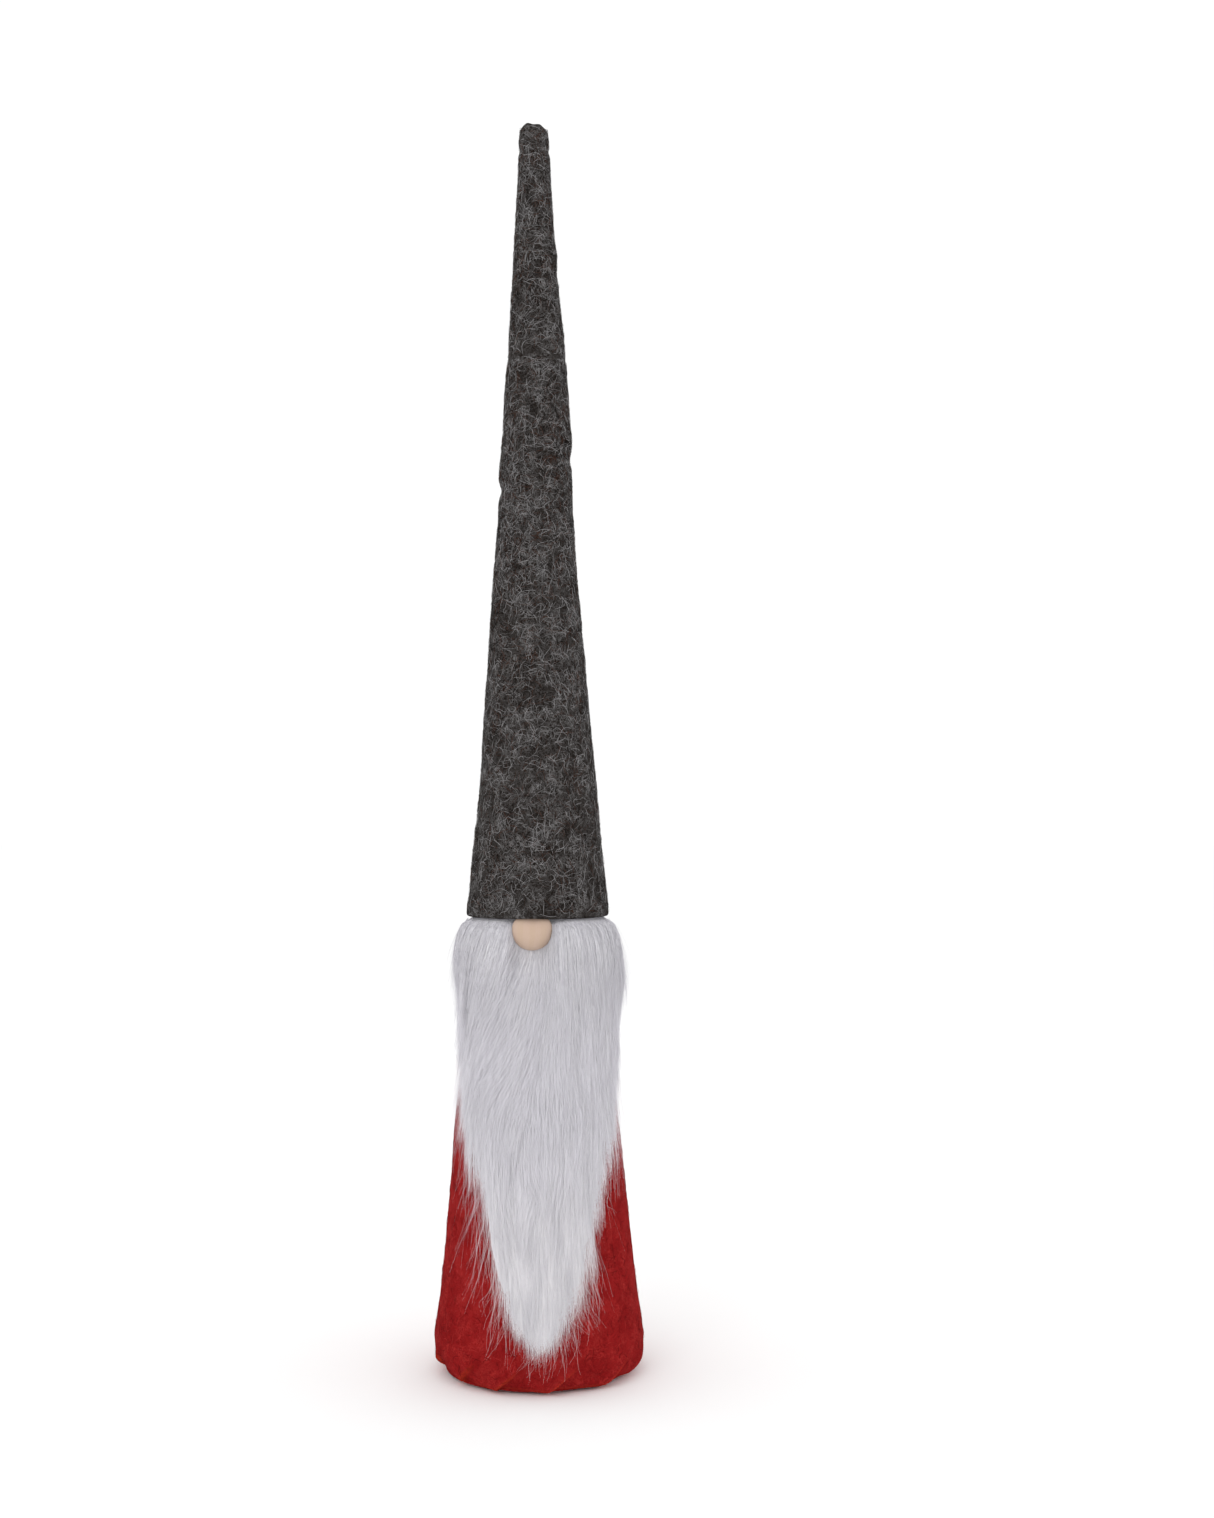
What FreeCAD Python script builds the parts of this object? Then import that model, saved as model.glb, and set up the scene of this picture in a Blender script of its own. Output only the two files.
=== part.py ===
"""Tomte gnome figurine: a slim felt gnome, 600 mm tall, that stands on a weighted round base.

A tapered red felt body is wrapped round polyester stuffing and a pouch of sand. Its hem is turned under a round
board in pleated flaps and covered by a felt disc. A long-pile beard on a woven backing is glued to the front, with a
wooden half-ball nose on it. A tall grey felt hat covers the top of the body. Its stuffing holds one steel wire,
which lets the hat be bent by hand at a crease half way up and again near the tip.

Millimetres. +Z is up, the gnome looks along -Y, and the origin is the centre of the flat base.
Each sub-part is written to parts/NODE.step.
"""

import FreeCAD
import Part

import os
from math import cos, radians, sin, sqrt

Vector = FreeCAD.Vector
UP = Vector(0, 0, 1)
ORIGIN = Vector(0, 0, 0)

# ---------------------------------------------------------------- driving dimensions
HEIGHT = 600.0
FELT = 3.0  # hat felt
BODY_FELT = 2.5  # body felt
FILL_GAP = 0.2  # slack between a filling and the felt round it
RUN_GAP = 0.3  # least gap between pieces that move against each other

# Outer outlines as (height, radius), straight between the points.
BODY_LINE = [(15.0, 51.0), (38.0, 47.3), (109.0, 40.4), (222.0, 29.0), (300.0, 21.5)]
HAT_LINE = [(218.0, 34.6), (254.0, 30.9), (310.0, 25.8), (423.0, 17.8), (540.0, 9.9), (590.0, 7.8)]

# Base, from the table up.
COVER_RADIUS = 38.0
COVER_THICK = 1.2
FLAP_COUNT = 12
FLAP_REACH = (24.0, 45.0)  # inner and outer radius of the turned-under hem
FLAP_SPAN = 28.0  # degrees each
BOARD_RADIUS = 44.0
BOARD_THICK = 3.0
ROLL_FOOT_RADIUS = 46.0  # where the rolled hem meets the flaps
ROLL_MIDDLE = (8.0, 50.2)  # height and radius half way round the roll
POUCH_RADIUS = 42.5
POUCH_HEIGHT = 29.0
POUCH_CLOTH = 0.7
POUCH_ROUNDING = 8.0

# Hat: the two places where it bends, and how far the soft zone reaches each way from the hinge line.
CREASE_HEIGHT = 423.0
TIP_BEND_HEIGHT = 540.0
BEND_REACH = 9.0
TIP_DOME = [(596.0, 7.2), (600.0, 4.4)]
TIP_FLOOR = 596.0  # the inside of the closed tip

# Wire: one steel wire, cut in the model at each bend.
WIRE_RADIUS = 0.9
WIRE_FOOT_HEIGHT = 236.0
WIRE_FOOT_RADIUS = 12.0
WIRE_TOP = 584.0
WIRE_CUT = 1.0  # half the cut at each bend

# Beard
BACKING_THICK = 1.2
BACKING_TOP = 232.0
BACKING_POINT = (10.0, 60.0)  # half width and height of the blunt point of the shield-shaped cut
BACKING_SHOULDER = 156.0  # the cut has upright sides above this height
PILE_OUTLINE = [(0, 14), (18, 37), (30, 80), (36, 105), (46, 150), (46, 217)]  # half of it, as (x, z)
PILE_SLOPE = [(48.8, 16.0), (45.2, 70.0), (38.2, 160.0)]  # its outer surface, as (radius, height)
PILE_SHOULDER = (40.6, 195.0, 35.4, 217.0)  # an arc from there, through here, to the rim
PILE_FORWARD = 2.5  # the outer surface's axis lies this far in front of the body's

# Nose: a wooden half-ball with a flat back, tucked under the hat's rim.
NOSE_RADIUS = 9.5
NOSE_DEPTH = 7.5
NOSE_HEIGHT = 212.5
NOSE_ASIDE = -2.5  # glued a little off centre
NOSE_BACK = 34.5  # distance of its flat back from the axis

# Thread: running stitches that lie on the felt down the back.
STITCH_LENGTH = 3.2
STITCH_PITCH = 6.0
STITCH_RADIUS = 0.35
STITCH_LIFT = 0.05  # clear of the felt

FLAP_FLOOR = COVER_THICK
BOARD_FLOOR = FLAP_FLOOR + BODY_FELT
POUCH_FLOOR = BOARD_FLOOR + BOARD_THICK
POUCH_TOP = POUCH_FLOOR + POUCH_HEIGHT
HAT_RIM = HAT_LINE[0][0]
BODY_TOP = BODY_LINE[-1][0]


# ---------------------------------------------------------------- helpers
def radius_at(line, z):
    """The radius of an outline at height z."""
    for (z0, r0), (z1, r1) in zip(line, line[1:]):
        if z <= z1:
            return r0 + (r1 - r0) * (z - z0) / (z1 - z0)
    return line[-1][1]


def stretch(line, low, high, offset=0.0):
    """An outline's points from low to high as (radius, height), moved in or out by offset."""
    heights = [low, *(z for z, _ in line if low < z < high), high]
    return [(radius_at(line, z) + offset, z) for z in heights]


def edges_through(points):
    """Straight edges through (radius, height) points in the XZ plane. A three-point tuple is an arc."""
    edges = []
    for a, b in zip(points, points[1:]):
        start = Vector(a[-2], 0, a[-1])
        if len(b) == 4:
            middle = Vector(b[0], 0, b[1])
            edges.append(Part.Arc(start, middle, Vector(b[2], 0, b[3])).toShape())
        else:
            edges.append(Part.LineSegment(start, Vector(b[0], 0, b[1])).toShape())
    return edges


def turned(points, angle=360.0):
    """Revolves a closed outline of (radius, height) points about the axis. (r, z, r, z) goes by an arc."""
    face = Part.Face(Part.Wire(edges_through([*points, points[0][-2:]])))
    return face.revolve(ORIGIN, UP, angle)


def sleeve(line, low, high, thick):
    """A tapered tube whose outside follows the outline."""
    return turned(stretch(line, low, high) + stretch(line, low, high, -thick)[::-1])


def core(line, low, high, offset=0.0):
    """A solid of revolution that fills the outline from low to high."""
    return turned([(0, low), *stretch(line, low, high, offset), (0, high)])


def front_prism(half_outline):
    """A prism along Y, in front of the axis, on an outline given by its right half as (x, z)."""
    mirrored = [(-x, z) for x, z in half_outline[::-1] if x > 0]
    corners = [Vector(x, 0, z) for x, z in [*half_outline, *mirrored]]
    reach = 2 * BODY_LINE[0][1]
    return Part.Face(Part.makePolygon([*corners, corners[0]])).extrude(Vector(0, -reach, 0))


def nose_ball(grow=0.0):
    """The ball that the nose is cut from, with its radius grown."""
    ball_radius = (NOSE_RADIUS**2 + NOSE_DEPTH**2) / (2 * NOSE_DEPTH)
    centre = Vector(NOSE_ASIDE, -(NOSE_BACK + NOSE_DEPTH - ball_radius), NOSE_HEIGHT)
    return Part.makeSphere(ball_radius + grow, centre)


def half_space_front(distance):
    """A large block of everything in front of the plane y = -distance."""
    size = 200.0
    return Part.makeBox(2 * size, size, HEIGHT + size, Vector(-size, -distance - size, -size / 2))


def stitches(line, low, high):
    """Running stitches up the back of the felt, lying along its slope."""
    found = []
    z = low
    while z + STITCH_LENGTH < high:
        lift = STITCH_RADIUS + STITCH_LIFT
        start = Vector(0, radius_at(line, z) + lift, z)
        end = Vector(0, radius_at(line, z + STITCH_LENGTH) + lift, z + STITCH_LENGTH)
        found.append(Part.makeCylinder(STITCH_RADIUS, (end - start).Length, start, end - start))
        z += STITCH_PITCH
    return Part.makeCompound(found)


def wire_run(low, high):
    return Part.makeCylinder(WIRE_RADIUS, high - low, Vector(0, 0, low))


# ---------------------------------------------------------------- base
def base_cover():
    return Part.makeCylinder(COVER_RADIUS, COVER_THICK)


def hem_flaps():
    """The body's hem, slit into flaps that are turned under the board and glued to it."""
    inner, outer = FLAP_REACH
    top = FLAP_FLOOR + BODY_FELT
    outline = [(inner, FLAP_FLOOR), (outer, FLAP_FLOOR), (outer, top), (inner, top)]
    flap = turned(outline, FLAP_SPAN)
    step = 360.0 / FLAP_COUNT
    return Part.makeCompound([flap.rotated(ORIGIN, UP, k * step) for k in range(FLAP_COUNT)])


def base_board():
    return Part.makeCylinder(BOARD_RADIUS, BOARD_THICK, Vector(0, 0, BOARD_FLOOR))


def pouch_solid(inset):
    block = Part.makeCylinder(POUCH_RADIUS - inset, POUCH_HEIGHT - 2 * inset, Vector(0, 0, POUCH_FLOOR + inset))
    rims = [e for e in block.Edges if isinstance(e.Curve, Part.Circle)]
    return block.makeFillet(POUCH_ROUNDING - inset, rims)


def weight_pouch():
    return pouch_solid(0.0).cut(pouch_solid(POUCH_CLOTH))


def sand_fill():
    return pouch_solid(POUCH_CLOTH)


# ---------------------------------------------------------------- body
def body_felt():
    """The tapered sleeve, with its foot rolled in to meet the flaps."""
    widest_z, widest_r = BODY_LINE[0]
    middle_z, middle_r = ROLL_MIDDLE
    outside = [(ROLL_FOOT_RADIUS, FLAP_FLOOR), (middle_r, middle_z, widest_r, widest_z)]
    outside += stretch(BODY_LINE, widest_z, BODY_TOP)[1:]
    inside = stretch(BODY_LINE, widest_z, BODY_TOP, -BODY_FELT)[::-1]
    foot = (middle_r - BODY_FELT, middle_z, ROLL_FOOT_RADIUS - 1.0, FLAP_FLOOR + BODY_FELT)
    return turned([*outside, *inside, foot])


def body_stuffing():
    fill = core(BODY_LINE, POUCH_TOP, BODY_TOP - FILL_GAP, -BODY_FELT - FILL_GAP)
    return fill.cut(hat_wire_lower())


def body_seam_thread():
    return stitches(BODY_LINE, BODY_LINE[0][0] + STITCH_PITCH, HAT_RIM - 2 * STITCH_PITCH)


# ---------------------------------------------------------------- beard and nose
def backing_outline():
    """Half of the shield-shaped cut, seen from the front."""
    side = BODY_LINE[0][1]
    return [(0, BACKING_POINT[1]), BACKING_POINT, (radius_at(BODY_LINE, BACKING_SHOULDER), BACKING_SHOULDER),
            (side, BACKING_SHOULDER), (side, BACKING_TOP), (0, BACKING_TOP)]


def beard_backing():
    low, high = BACKING_POINT[1] - 2, BACKING_TOP
    outside = stretch(BODY_LINE, low, high, FILL_GAP + BACKING_THICK)
    inside = stretch(BODY_LINE, low, high, FILL_GAP)
    return turned(outside + inside[::-1]).common(front_prism(backing_outline()))


def beard_pile():
    """The outer shape of the fur: it swells below the hat's rim, then narrows to the point of the beard."""
    low, high = PILE_SLOPE[0][1], PILE_SHOULDER[-1]
    outer = turned([(0, low), *PILE_SLOPE, PILE_SHOULDER, (0, high)])
    outer = outer.translated(Vector(0, -PILE_FORWARD, 0))
    under = core(BODY_LINE, low - 1, high + 1, FILL_GAP)
    outline = [*PILE_OUTLINE, (0, high)]
    pile = outer.cut(under).common(front_prism(outline))
    pile = pile.cut(beard_backing()).cut(nose_ball(FILL_GAP).common(half_space_front(NOSE_BACK)))
    pile = pile.cut(nose_glue())
    return max(pile.Solids, key=lambda s: s.Volume)


def nose():
    return nose_ball().common(half_space_front(NOSE_BACK))


def nose_glue():
    """A button of hot-melt glue between the nose's flat back and the backing."""
    front = NOSE_BACK - 0.05
    start = Vector(NOSE_ASIDE, -front, NOSE_HEIGHT)
    button = Part.makeCylinder(NOSE_RADIUS / 2, front, start, Vector(0, 1, 0))
    return button.cut(core(BODY_LINE, BODY_LINE[0][0], BACKING_TOP, 2 * FILL_GAP + BACKING_THICK))


# ---------------------------------------------------------------- hat
def hat_felt_lower():
    """The hat up to its crease, with the rim pushed out where it lies over the nose."""
    felt = sleeve(HAT_LINE, HAT_RIM, CREASE_HEIGHT - BEND_REACH, FELT)
    inside = core(HAT_LINE, HAT_RIM - FELT, CREASE_HEIGHT, -FELT)
    over_rim = Part.makeBox(100, 50, 100, Vector(-50, -60, HAT_RIM))
    bulge = nose_ball(FELT + FILL_GAP).common(over_rim)
    below = turned([(0, HAT_RIM - FELT), (radius_at(HAT_LINE, HAT_RIM) - FELT, HAT_RIM - FELT),
                    (radius_at(HAT_LINE, HAT_RIM) - FELT, HAT_RIM), (0, HAT_RIM)])
    felt = felt.fuse(bulge.cut(inside)).cut(below)
    return felt.cut(nose_ball(FILL_GAP).common(half_space_front(NOSE_BACK - FILL_GAP)))


def hat_felt_crease():
    """The short ring of felt that folds at the crease."""
    return sleeve(HAT_LINE, CREASE_HEIGHT - BEND_REACH + RUN_GAP, CREASE_HEIGHT + BEND_REACH, FELT)


def hat_felt_middle():
    return sleeve(HAT_LINE, CREASE_HEIGHT + BEND_REACH, TIP_BEND_HEIGHT - BEND_REACH, FELT)


def hat_felt_tip_crease():
    """The short ring of felt that folds where the tip bends over."""
    return sleeve(HAT_LINE, TIP_BEND_HEIGHT - BEND_REACH + RUN_GAP, TIP_BEND_HEIGHT + BEND_REACH, FELT)


def hat_felt_tip():
    """The closed end of the hat."""
    low = TIP_BEND_HEIGHT + BEND_REACH
    outside = stretch(HAT_LINE, low, HAT_LINE[-1][0]) + [(r, z) for z, r in TIP_DOME]
    inside = stretch(HAT_LINE, low, HAT_LINE[-1][0], -FELT)[::-1]
    return turned([*outside, (0, HEIGHT), (0, TIP_FLOOR), (3.2, TIP_FLOOR), *inside])


def filling(low, high, wire):
    return core(HAT_LINE, low, high, -FELT - FILL_GAP).cut(wire)


def hat_stuffing_lower():
    return filling(BODY_TOP, CREASE_HEIGHT - BEND_REACH, hat_wire_lower())


def hat_stuffing_middle():
    return filling(CREASE_HEIGHT + BEND_REACH, TIP_BEND_HEIGHT - BEND_REACH, hat_wire_middle())


def hat_stuffing_tip():
    return filling(TIP_BEND_HEIGHT + BEND_REACH, HAT_LINE[-1][0], hat_wire_tip())


def hat_wire_lower():
    """The wire's anchor end: bent flat into a ring that sits in the body's stuffing, then straight up the axis."""
    ring = Part.makeTorus(WIRE_FOOT_RADIUS, WIRE_RADIUS, Vector(0, 0, WIRE_FOOT_HEIGHT))
    spoke = Part.makeCylinder(WIRE_RADIUS, WIRE_FOOT_RADIUS, Vector(0, 0, WIRE_FOOT_HEIGHT), Vector(1, 0, 0))
    elbow = Part.makeSphere(WIRE_RADIUS, Vector(0, 0, WIRE_FOOT_HEIGHT))
    upright = wire_run(WIRE_FOOT_HEIGHT, CREASE_HEIGHT - WIRE_CUT)
    return upright.fuse([elbow, spoke, ring])


def hat_wire_middle():
    return wire_run(CREASE_HEIGHT + WIRE_CUT, TIP_BEND_HEIGHT - WIRE_CUT)


def hat_wire_tip():
    return wire_run(TIP_BEND_HEIGHT + WIRE_CUT, WIRE_TOP)


def hat_glue_bead():
    """A bead of hot-melt glue inside the rim, round the back and sides where no beard lies."""
    low, high = 224.0, 230.0
    slack = 0.1
    outside = stretch(HAT_LINE, low, high, -FELT - slack)
    inside = stretch(BODY_LINE, low, high, slack)
    return turned(outside + inside[::-1], 160.0).rotated(ORIGIN, UP, 10.0)


def hat_seam_thread_lower():
    return stitches(HAT_LINE, HAT_RIM + STITCH_PITCH, CREASE_HEIGHT - BEND_REACH)


def hat_seam_thread_middle():
    return stitches(HAT_LINE, CREASE_HEIGHT + BEND_REACH, TIP_BEND_HEIGHT - BEND_REACH)


def hat_seam_thread_tip():
    return stitches(HAT_LINE, TIP_BEND_HEIGHT + BEND_REACH, HAT_LINE[-1][0])


SUB_PARTS = [
    base_cover, hem_flaps, base_board, weight_pouch, sand_fill,
    body_felt, body_stuffing, body_seam_thread,
    beard_backing, beard_pile, nose, nose_glue,
    hat_felt_lower, hat_stuffing_lower, hat_wire_lower, hat_glue_bead, hat_seam_thread_lower,
    hat_felt_crease, hat_felt_middle, hat_stuffing_middle, hat_wire_middle, hat_seam_thread_middle,
    hat_felt_tip_crease, hat_felt_tip, hat_stuffing_tip, hat_wire_tip, hat_seam_thread_tip,
]


def main():
    os.makedirs("parts", exist_ok=True)
    for make in SUB_PARTS:
        shape = make()
        shape.exportStep(f"parts/{make.__name__}.step")
        box = shape.BoundBox
        print(f"{make.__name__:24s} solids {len(shape.Solids):3d} valid {shape.isValid()} "
              f"volume {shape.Volume:10.1f} z {box.ZMin:6.1f} to {box.ZMax:6.1f}")


main()
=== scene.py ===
"""Looks of the tomte gnome figurine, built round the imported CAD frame.

Shapes are worked out in millimetres. Angles start at the front: 0 faces -Y and positive turns to +X.
"""

import itertools
import math

import bmesh
import bpy
import numpy as np
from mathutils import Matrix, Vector


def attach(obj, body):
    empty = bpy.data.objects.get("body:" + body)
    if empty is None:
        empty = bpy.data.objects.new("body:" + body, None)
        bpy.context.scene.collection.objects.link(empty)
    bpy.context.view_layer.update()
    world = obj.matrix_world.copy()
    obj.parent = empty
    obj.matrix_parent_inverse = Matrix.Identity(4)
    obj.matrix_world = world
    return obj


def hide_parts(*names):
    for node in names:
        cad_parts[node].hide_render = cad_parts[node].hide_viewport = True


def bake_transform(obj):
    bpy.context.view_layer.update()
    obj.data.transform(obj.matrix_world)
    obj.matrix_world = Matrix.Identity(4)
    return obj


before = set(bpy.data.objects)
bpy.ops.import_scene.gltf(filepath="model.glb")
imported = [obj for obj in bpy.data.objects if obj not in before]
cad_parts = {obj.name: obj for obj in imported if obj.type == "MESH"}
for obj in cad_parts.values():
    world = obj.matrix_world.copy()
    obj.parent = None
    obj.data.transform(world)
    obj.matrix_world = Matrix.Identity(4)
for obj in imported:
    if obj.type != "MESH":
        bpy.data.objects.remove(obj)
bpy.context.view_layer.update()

MM = 0.001
TAU = 2 * math.pi

# ---- measured outlines, as (height, value)
HAT_RADIUS = [(210, 35.3), (218, 34.5), (226, 33.3), (240, 31.8), (254, 30.4), (268, 29.2), (283, 27.8),
              (312, 25.5), (341, 23.2), (370, 21.0), (399, 18.8), (413, 17.7), (428, 17.4), (442, 16.6),
              (457, 15.9), (471, 15.0), (486, 13.7), (500, 12.9), (515, 11.7), (529, 10.4), (544, 9.4),
              (558, 8.8), (573, 8.2), (583, 7.5), (590, 7.0), (596, 6.7), (602, 6.4)]
HAT_CENTRE_X = [(216, 0.0), (283, 0.4), (340, -0.6), (385, -1.2), (430, -0.7), (486, -0.4), (529, -1.4),
                (573, -1.6), (602, -1.8)]
BODY_RADIUS = [(0.6, 41.5), (1.5, 44.0), (3, 46.0), (5, 47.7), (8, 49.3), (12, 50.2), (17, 50.4), (24, 49.2),
               (37, 47.4), (51, 45.7), (65, 44.1), (80, 42.6), (95, 41.4), (110, 40.2), (140, 37.3),
               (180, 33.2), (222, 29.0), (300, 21.5)]
BODY_CENTRE_X = [(0, 1.0), (35, 1.0), (60, 0.5), (80, 0.4), (110, 0.0), (300, 0.0)]
LEFT_PILE = [(90, 1.0), (130, 1.0), (148, 1.2), (160, 1.6), (170, 2.9), (182, 5.2), (190, 7.2), (199, 8.4),
             (206, 8.8), (210, 8.3), (213, 7.3), (217, 5.0)]
RIGHT_PILE = [(90, 1.0), (129, 1.2), (141, 2.4), (153, 2.8), (165, 3.6), (174, 5.9), (182, 7.7), (190, 8.9),
              (199, 9.0), (206, 9.0), (210, 8.4), (213, 7.3), (217, 5.0)]
FRONT_PILE = [(14, 1.6), (30, 3.0), (60, 4.6), (90, 6.0), (120, 7.2), (150, 8.4), (182, 10.2), (199, 11.0),
              (206, 10.6), (210, 9.8), (213, 8.8), (217, 6.4)]
# The lowest that the fur's backing reaches, and the lowest that the fur is rooted, by angle from the front.
BACKING_EDGE = [(0, 60), (9, 61), (16, 70), (24, 88), (34, 110), (46, 132), (62, 152), (75, 168), (90, 176),
                (100, 180)]
ROOT_EDGE = [(-100, 188), (-90, 184), (-80, 182), (-70, 183), (-62, 183), (-54, 182), (-47, 178), (-42, 171),
             (-38, 160), (-35, 138), (-33, 118), (-30, 100), (-25, 87), (-20, 78), (-14, 72), (-8, 69),
             (0, 68), (6, 71), (12, 77), (18, 86), (25, 93), (30, 99), (34, 108), (37, 119), (40, 132),
             (44, 142), (50, 153), (60, 161), (70, 169), (80, 178), (90, 185), (100, 190)]

HAT_SPLIT = 485.0
HAT_RIM = 218.0
HAT_FELT = 3.0
BODY_FELT = 2.5
PETALS = [-53, -26, 5, 40, 66, 95, 124, 153, 184, 213, 243, 272]
NOSE = (-2.5, 212.5)
# The hat's creases: side, width as an angle, height, width in height, and how far each pushes the felt out.
CREASES = [(-1, 0.8, 422, 3.2, -1.1), (-1, 0.9, 431, 5.0, 0.5), (1, 0.8, 447, 5.0, 0.6),
           (1, 0.7, 437, 3.0, -0.7), (1, 0.7, 536, 4.0, 0.6), (1, 0.8, 526, 3.0, -0.45)]
FRONT_RADIUS = 41  # turns a distance across the beard into an angle
CROWN = 216.5  # pile rooted above this height is hidden under the hat's rim
BACKING_TOP = 1.3  # how far the backing's outside stands off the felt
LEAST_STAND = 0.6
PILE_WIDTH = 0.17
STITCH_PITCH = 6.0
OFF_FLOOR = 2.5  # no hair reaches lower than this


# ---- numbers
def smooth_step(low, high, x):
    t = np.clip((x - low) / (high - low), 0, 1)
    return t * t * (3 - 2 * t)


def bump(x, width):
    return np.exp(-((x / width) ** 2))


def curve(points, blur=5.0):
    """A smooth function through measured points: straight lines blurred over a few millimetres."""
    xs, ys = np.array(points, float).T
    grid = np.arange(xs[0] - 40, xs[-1] + 40, 0.5)
    slope_low = (ys[1] - ys[0]) / (xs[1] - xs[0])
    slope_high = (ys[-1] - ys[-2]) / (xs[-1] - xs[-2])
    line = np.interp(grid, xs, ys)
    line += np.minimum(grid - xs[0], 0) * slope_low + np.maximum(grid - xs[-1], 0) * slope_high
    window = np.exp(-0.5 * (np.arange(-30, 31) * 0.5 / blur) ** 2)
    padded = np.pad(line, 30, mode="reflect", reflect_type="odd")
    soft = np.convolve(padded, window / window.sum(), mode="valid")
    return lambda x: np.interp(x, grid, soft)


def noise(p, size, seed=0):
    """Smooth noise from -1 to 1 at points p, with lumps of the given size."""
    p = np.asarray(p, float) / size
    cell = np.floor(p).astype(np.int64)
    f = p - cell
    f = f * f * (3 - 2 * f)
    total = np.zeros(p.shape[:-1])
    for corner in itertools.product((0, 1), repeat=3):
        c = cell + np.array(corner)
        h = (c[..., 0] * 73856093) ^ (c[..., 1] * 19349663) ^ (c[..., 2] * 83492791) ^ (seed * 2654435761)
        h = (h ^ (h >> 13)) * 1274126177
        value = ((h ^ (h >> 16)) & 0xFFFF) / 32767.5 - 1
        weight = np.prod(np.where(np.array(corner) == 1, f, 1 - f), axis=-1)
        total += value * weight
    return total


hat_radius = curve(HAT_RADIUS)
hat_centre = curve(HAT_CENTRE_X, 10.0)
body_radius = curve(BODY_RADIUS, 1.0)
body_centre = curve(BODY_CENTRE_X, 8.0)
left_pile = curve(LEFT_PILE, 2.0)
right_pile = curve(RIGHT_PILE, 2.0)
front_pile = curve(FRONT_PILE, 2.0)
backing_edge = curve(BACKING_EDGE, 3.0)
root_edge = curve(ROOT_EDGE, 1.5)


def around(a, r, z, x0=0.0):
    """Points at angle a from the front, radius r and height z."""
    a, r, z, x0 = np.broadcast_arrays(a, r, z, x0)
    return np.stack([x0 + r * np.sin(a), -r * np.cos(a), z], axis=-1)


def turn_from(a, centre):
    """The signed angle from centre to a."""
    return (a - centre + math.pi) % TAU - math.pi


# ---- surfaces
def seam_relief(u, z):
    """The back seam's groove beside the stitches, and the pucker that each stitch pulls."""
    groove = -0.7 * bump(u + 1.7, 0.55) + 0.25 * bump(u + 3.2, 1.2) + 0.25 * bump(u, 1.3)
    pull = -0.35 * bump(u, 1.1) * np.cos(math.pi * (z - 1.6) / STITCH_PITCH + math.pi / 2) ** 2
    return groove + pull


def hat_surface(a, z, depth=0.0):
    """A point of the hat's felt, depth millimetres under its outside."""
    a, z = np.broadcast_arrays(np.asarray(a, float), np.asarray(z, float))
    r = hat_radius(z)
    p = around(a, r, z)
    r = r + 0.35 * noise(p, 19.0, 1) + 0.16 * noise(p, 6.0, 2) + 0.06 * noise(p, 2.2, 3)
    for side, wide, height, tall, push in CREASES:
        r = r + push * bump(turn_from(a, side * math.pi / 2), wide) * bump(z - height, tall)
    r = r - 0.35 * bump(z - 586, 1.3) + 0.2 * bump(z - 590, 2.0)
    across = 35.0 * turn_from(a, NOSE[0] / 35.0)
    above = np.maximum(z - HAT_RIM, 0.0)
    over_nose = bump(across, 9.2) * bump(above, 10.0)
    r = r + 9.0 * over_nose
    r = r + seam_relief(r * turn_from(a, math.pi), z) * smooth_step(596, 588, z)
    r = r - depth
    q = around(a, r, z, hat_centre(z))
    q[..., 2] += 0.8 * over_nose
    q[..., 1] *= 1 - 0.42 * smooth_step(560, 597, z)
    x = q[..., 0] - hat_centre(z)
    top = smooth_step(590, 600, z)
    q[..., 2] += top * (0.6 * bump(x + 3.2, 1.6) - 0.35 * bump(x, 1.8) - 0.9 * smooth_step(2.6, 5.0, x))
    return q


def petal_place(a, z):
    """Which hem petal a point is on: how far across it lies, from 0 to 1."""
    degrees = np.degrees(a) - 1.3 * z
    edges = np.array(PETALS + [PETALS[0] + 360], float)
    d = (degrees - edges[0]) % 360 + edges[0]
    k = np.clip(np.searchsorted(edges, d, side="right") - 1, 0, len(edges) - 2)
    return (d - edges[k]) / (edges[k + 1] - edges[k])


def hem_fade(z):
    return smooth_step(17.0, 5.0, z)


def body_surface(a, z, depth=0.0):
    """A point of the body's felt, depth millimetres under its outside."""
    a, z = np.broadcast_arrays(np.asarray(a, float), np.asarray(z, float))
    r = body_radius(z)
    p = around(a, r, z)
    r = r + 0.5 * noise(p, 24.0, 11) + 0.22 * noise(p, 7.0, 12) + 0.08 * noise(p, 2.5, 13)
    front = np.abs(np.degrees(turn_from(a, 0.0)))
    r = r + 2.3 * smooth_step(58, 34, front) * smooth_step(8, 0.5, z)
    f = petal_place(a, z)
    step = f**1.6 * smooth_step(1.0, 0.965, f)
    r = r + hem_fade(z) * (3.3 * step - 1.3)
    r = r + seam_relief(r * turn_from(a, math.pi), z) * smooth_step(12, 22, z)
    return around(a, r - depth, z + 0.8 * (1 - step) * smooth_step(9, 2, z), body_centre(z))


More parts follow.
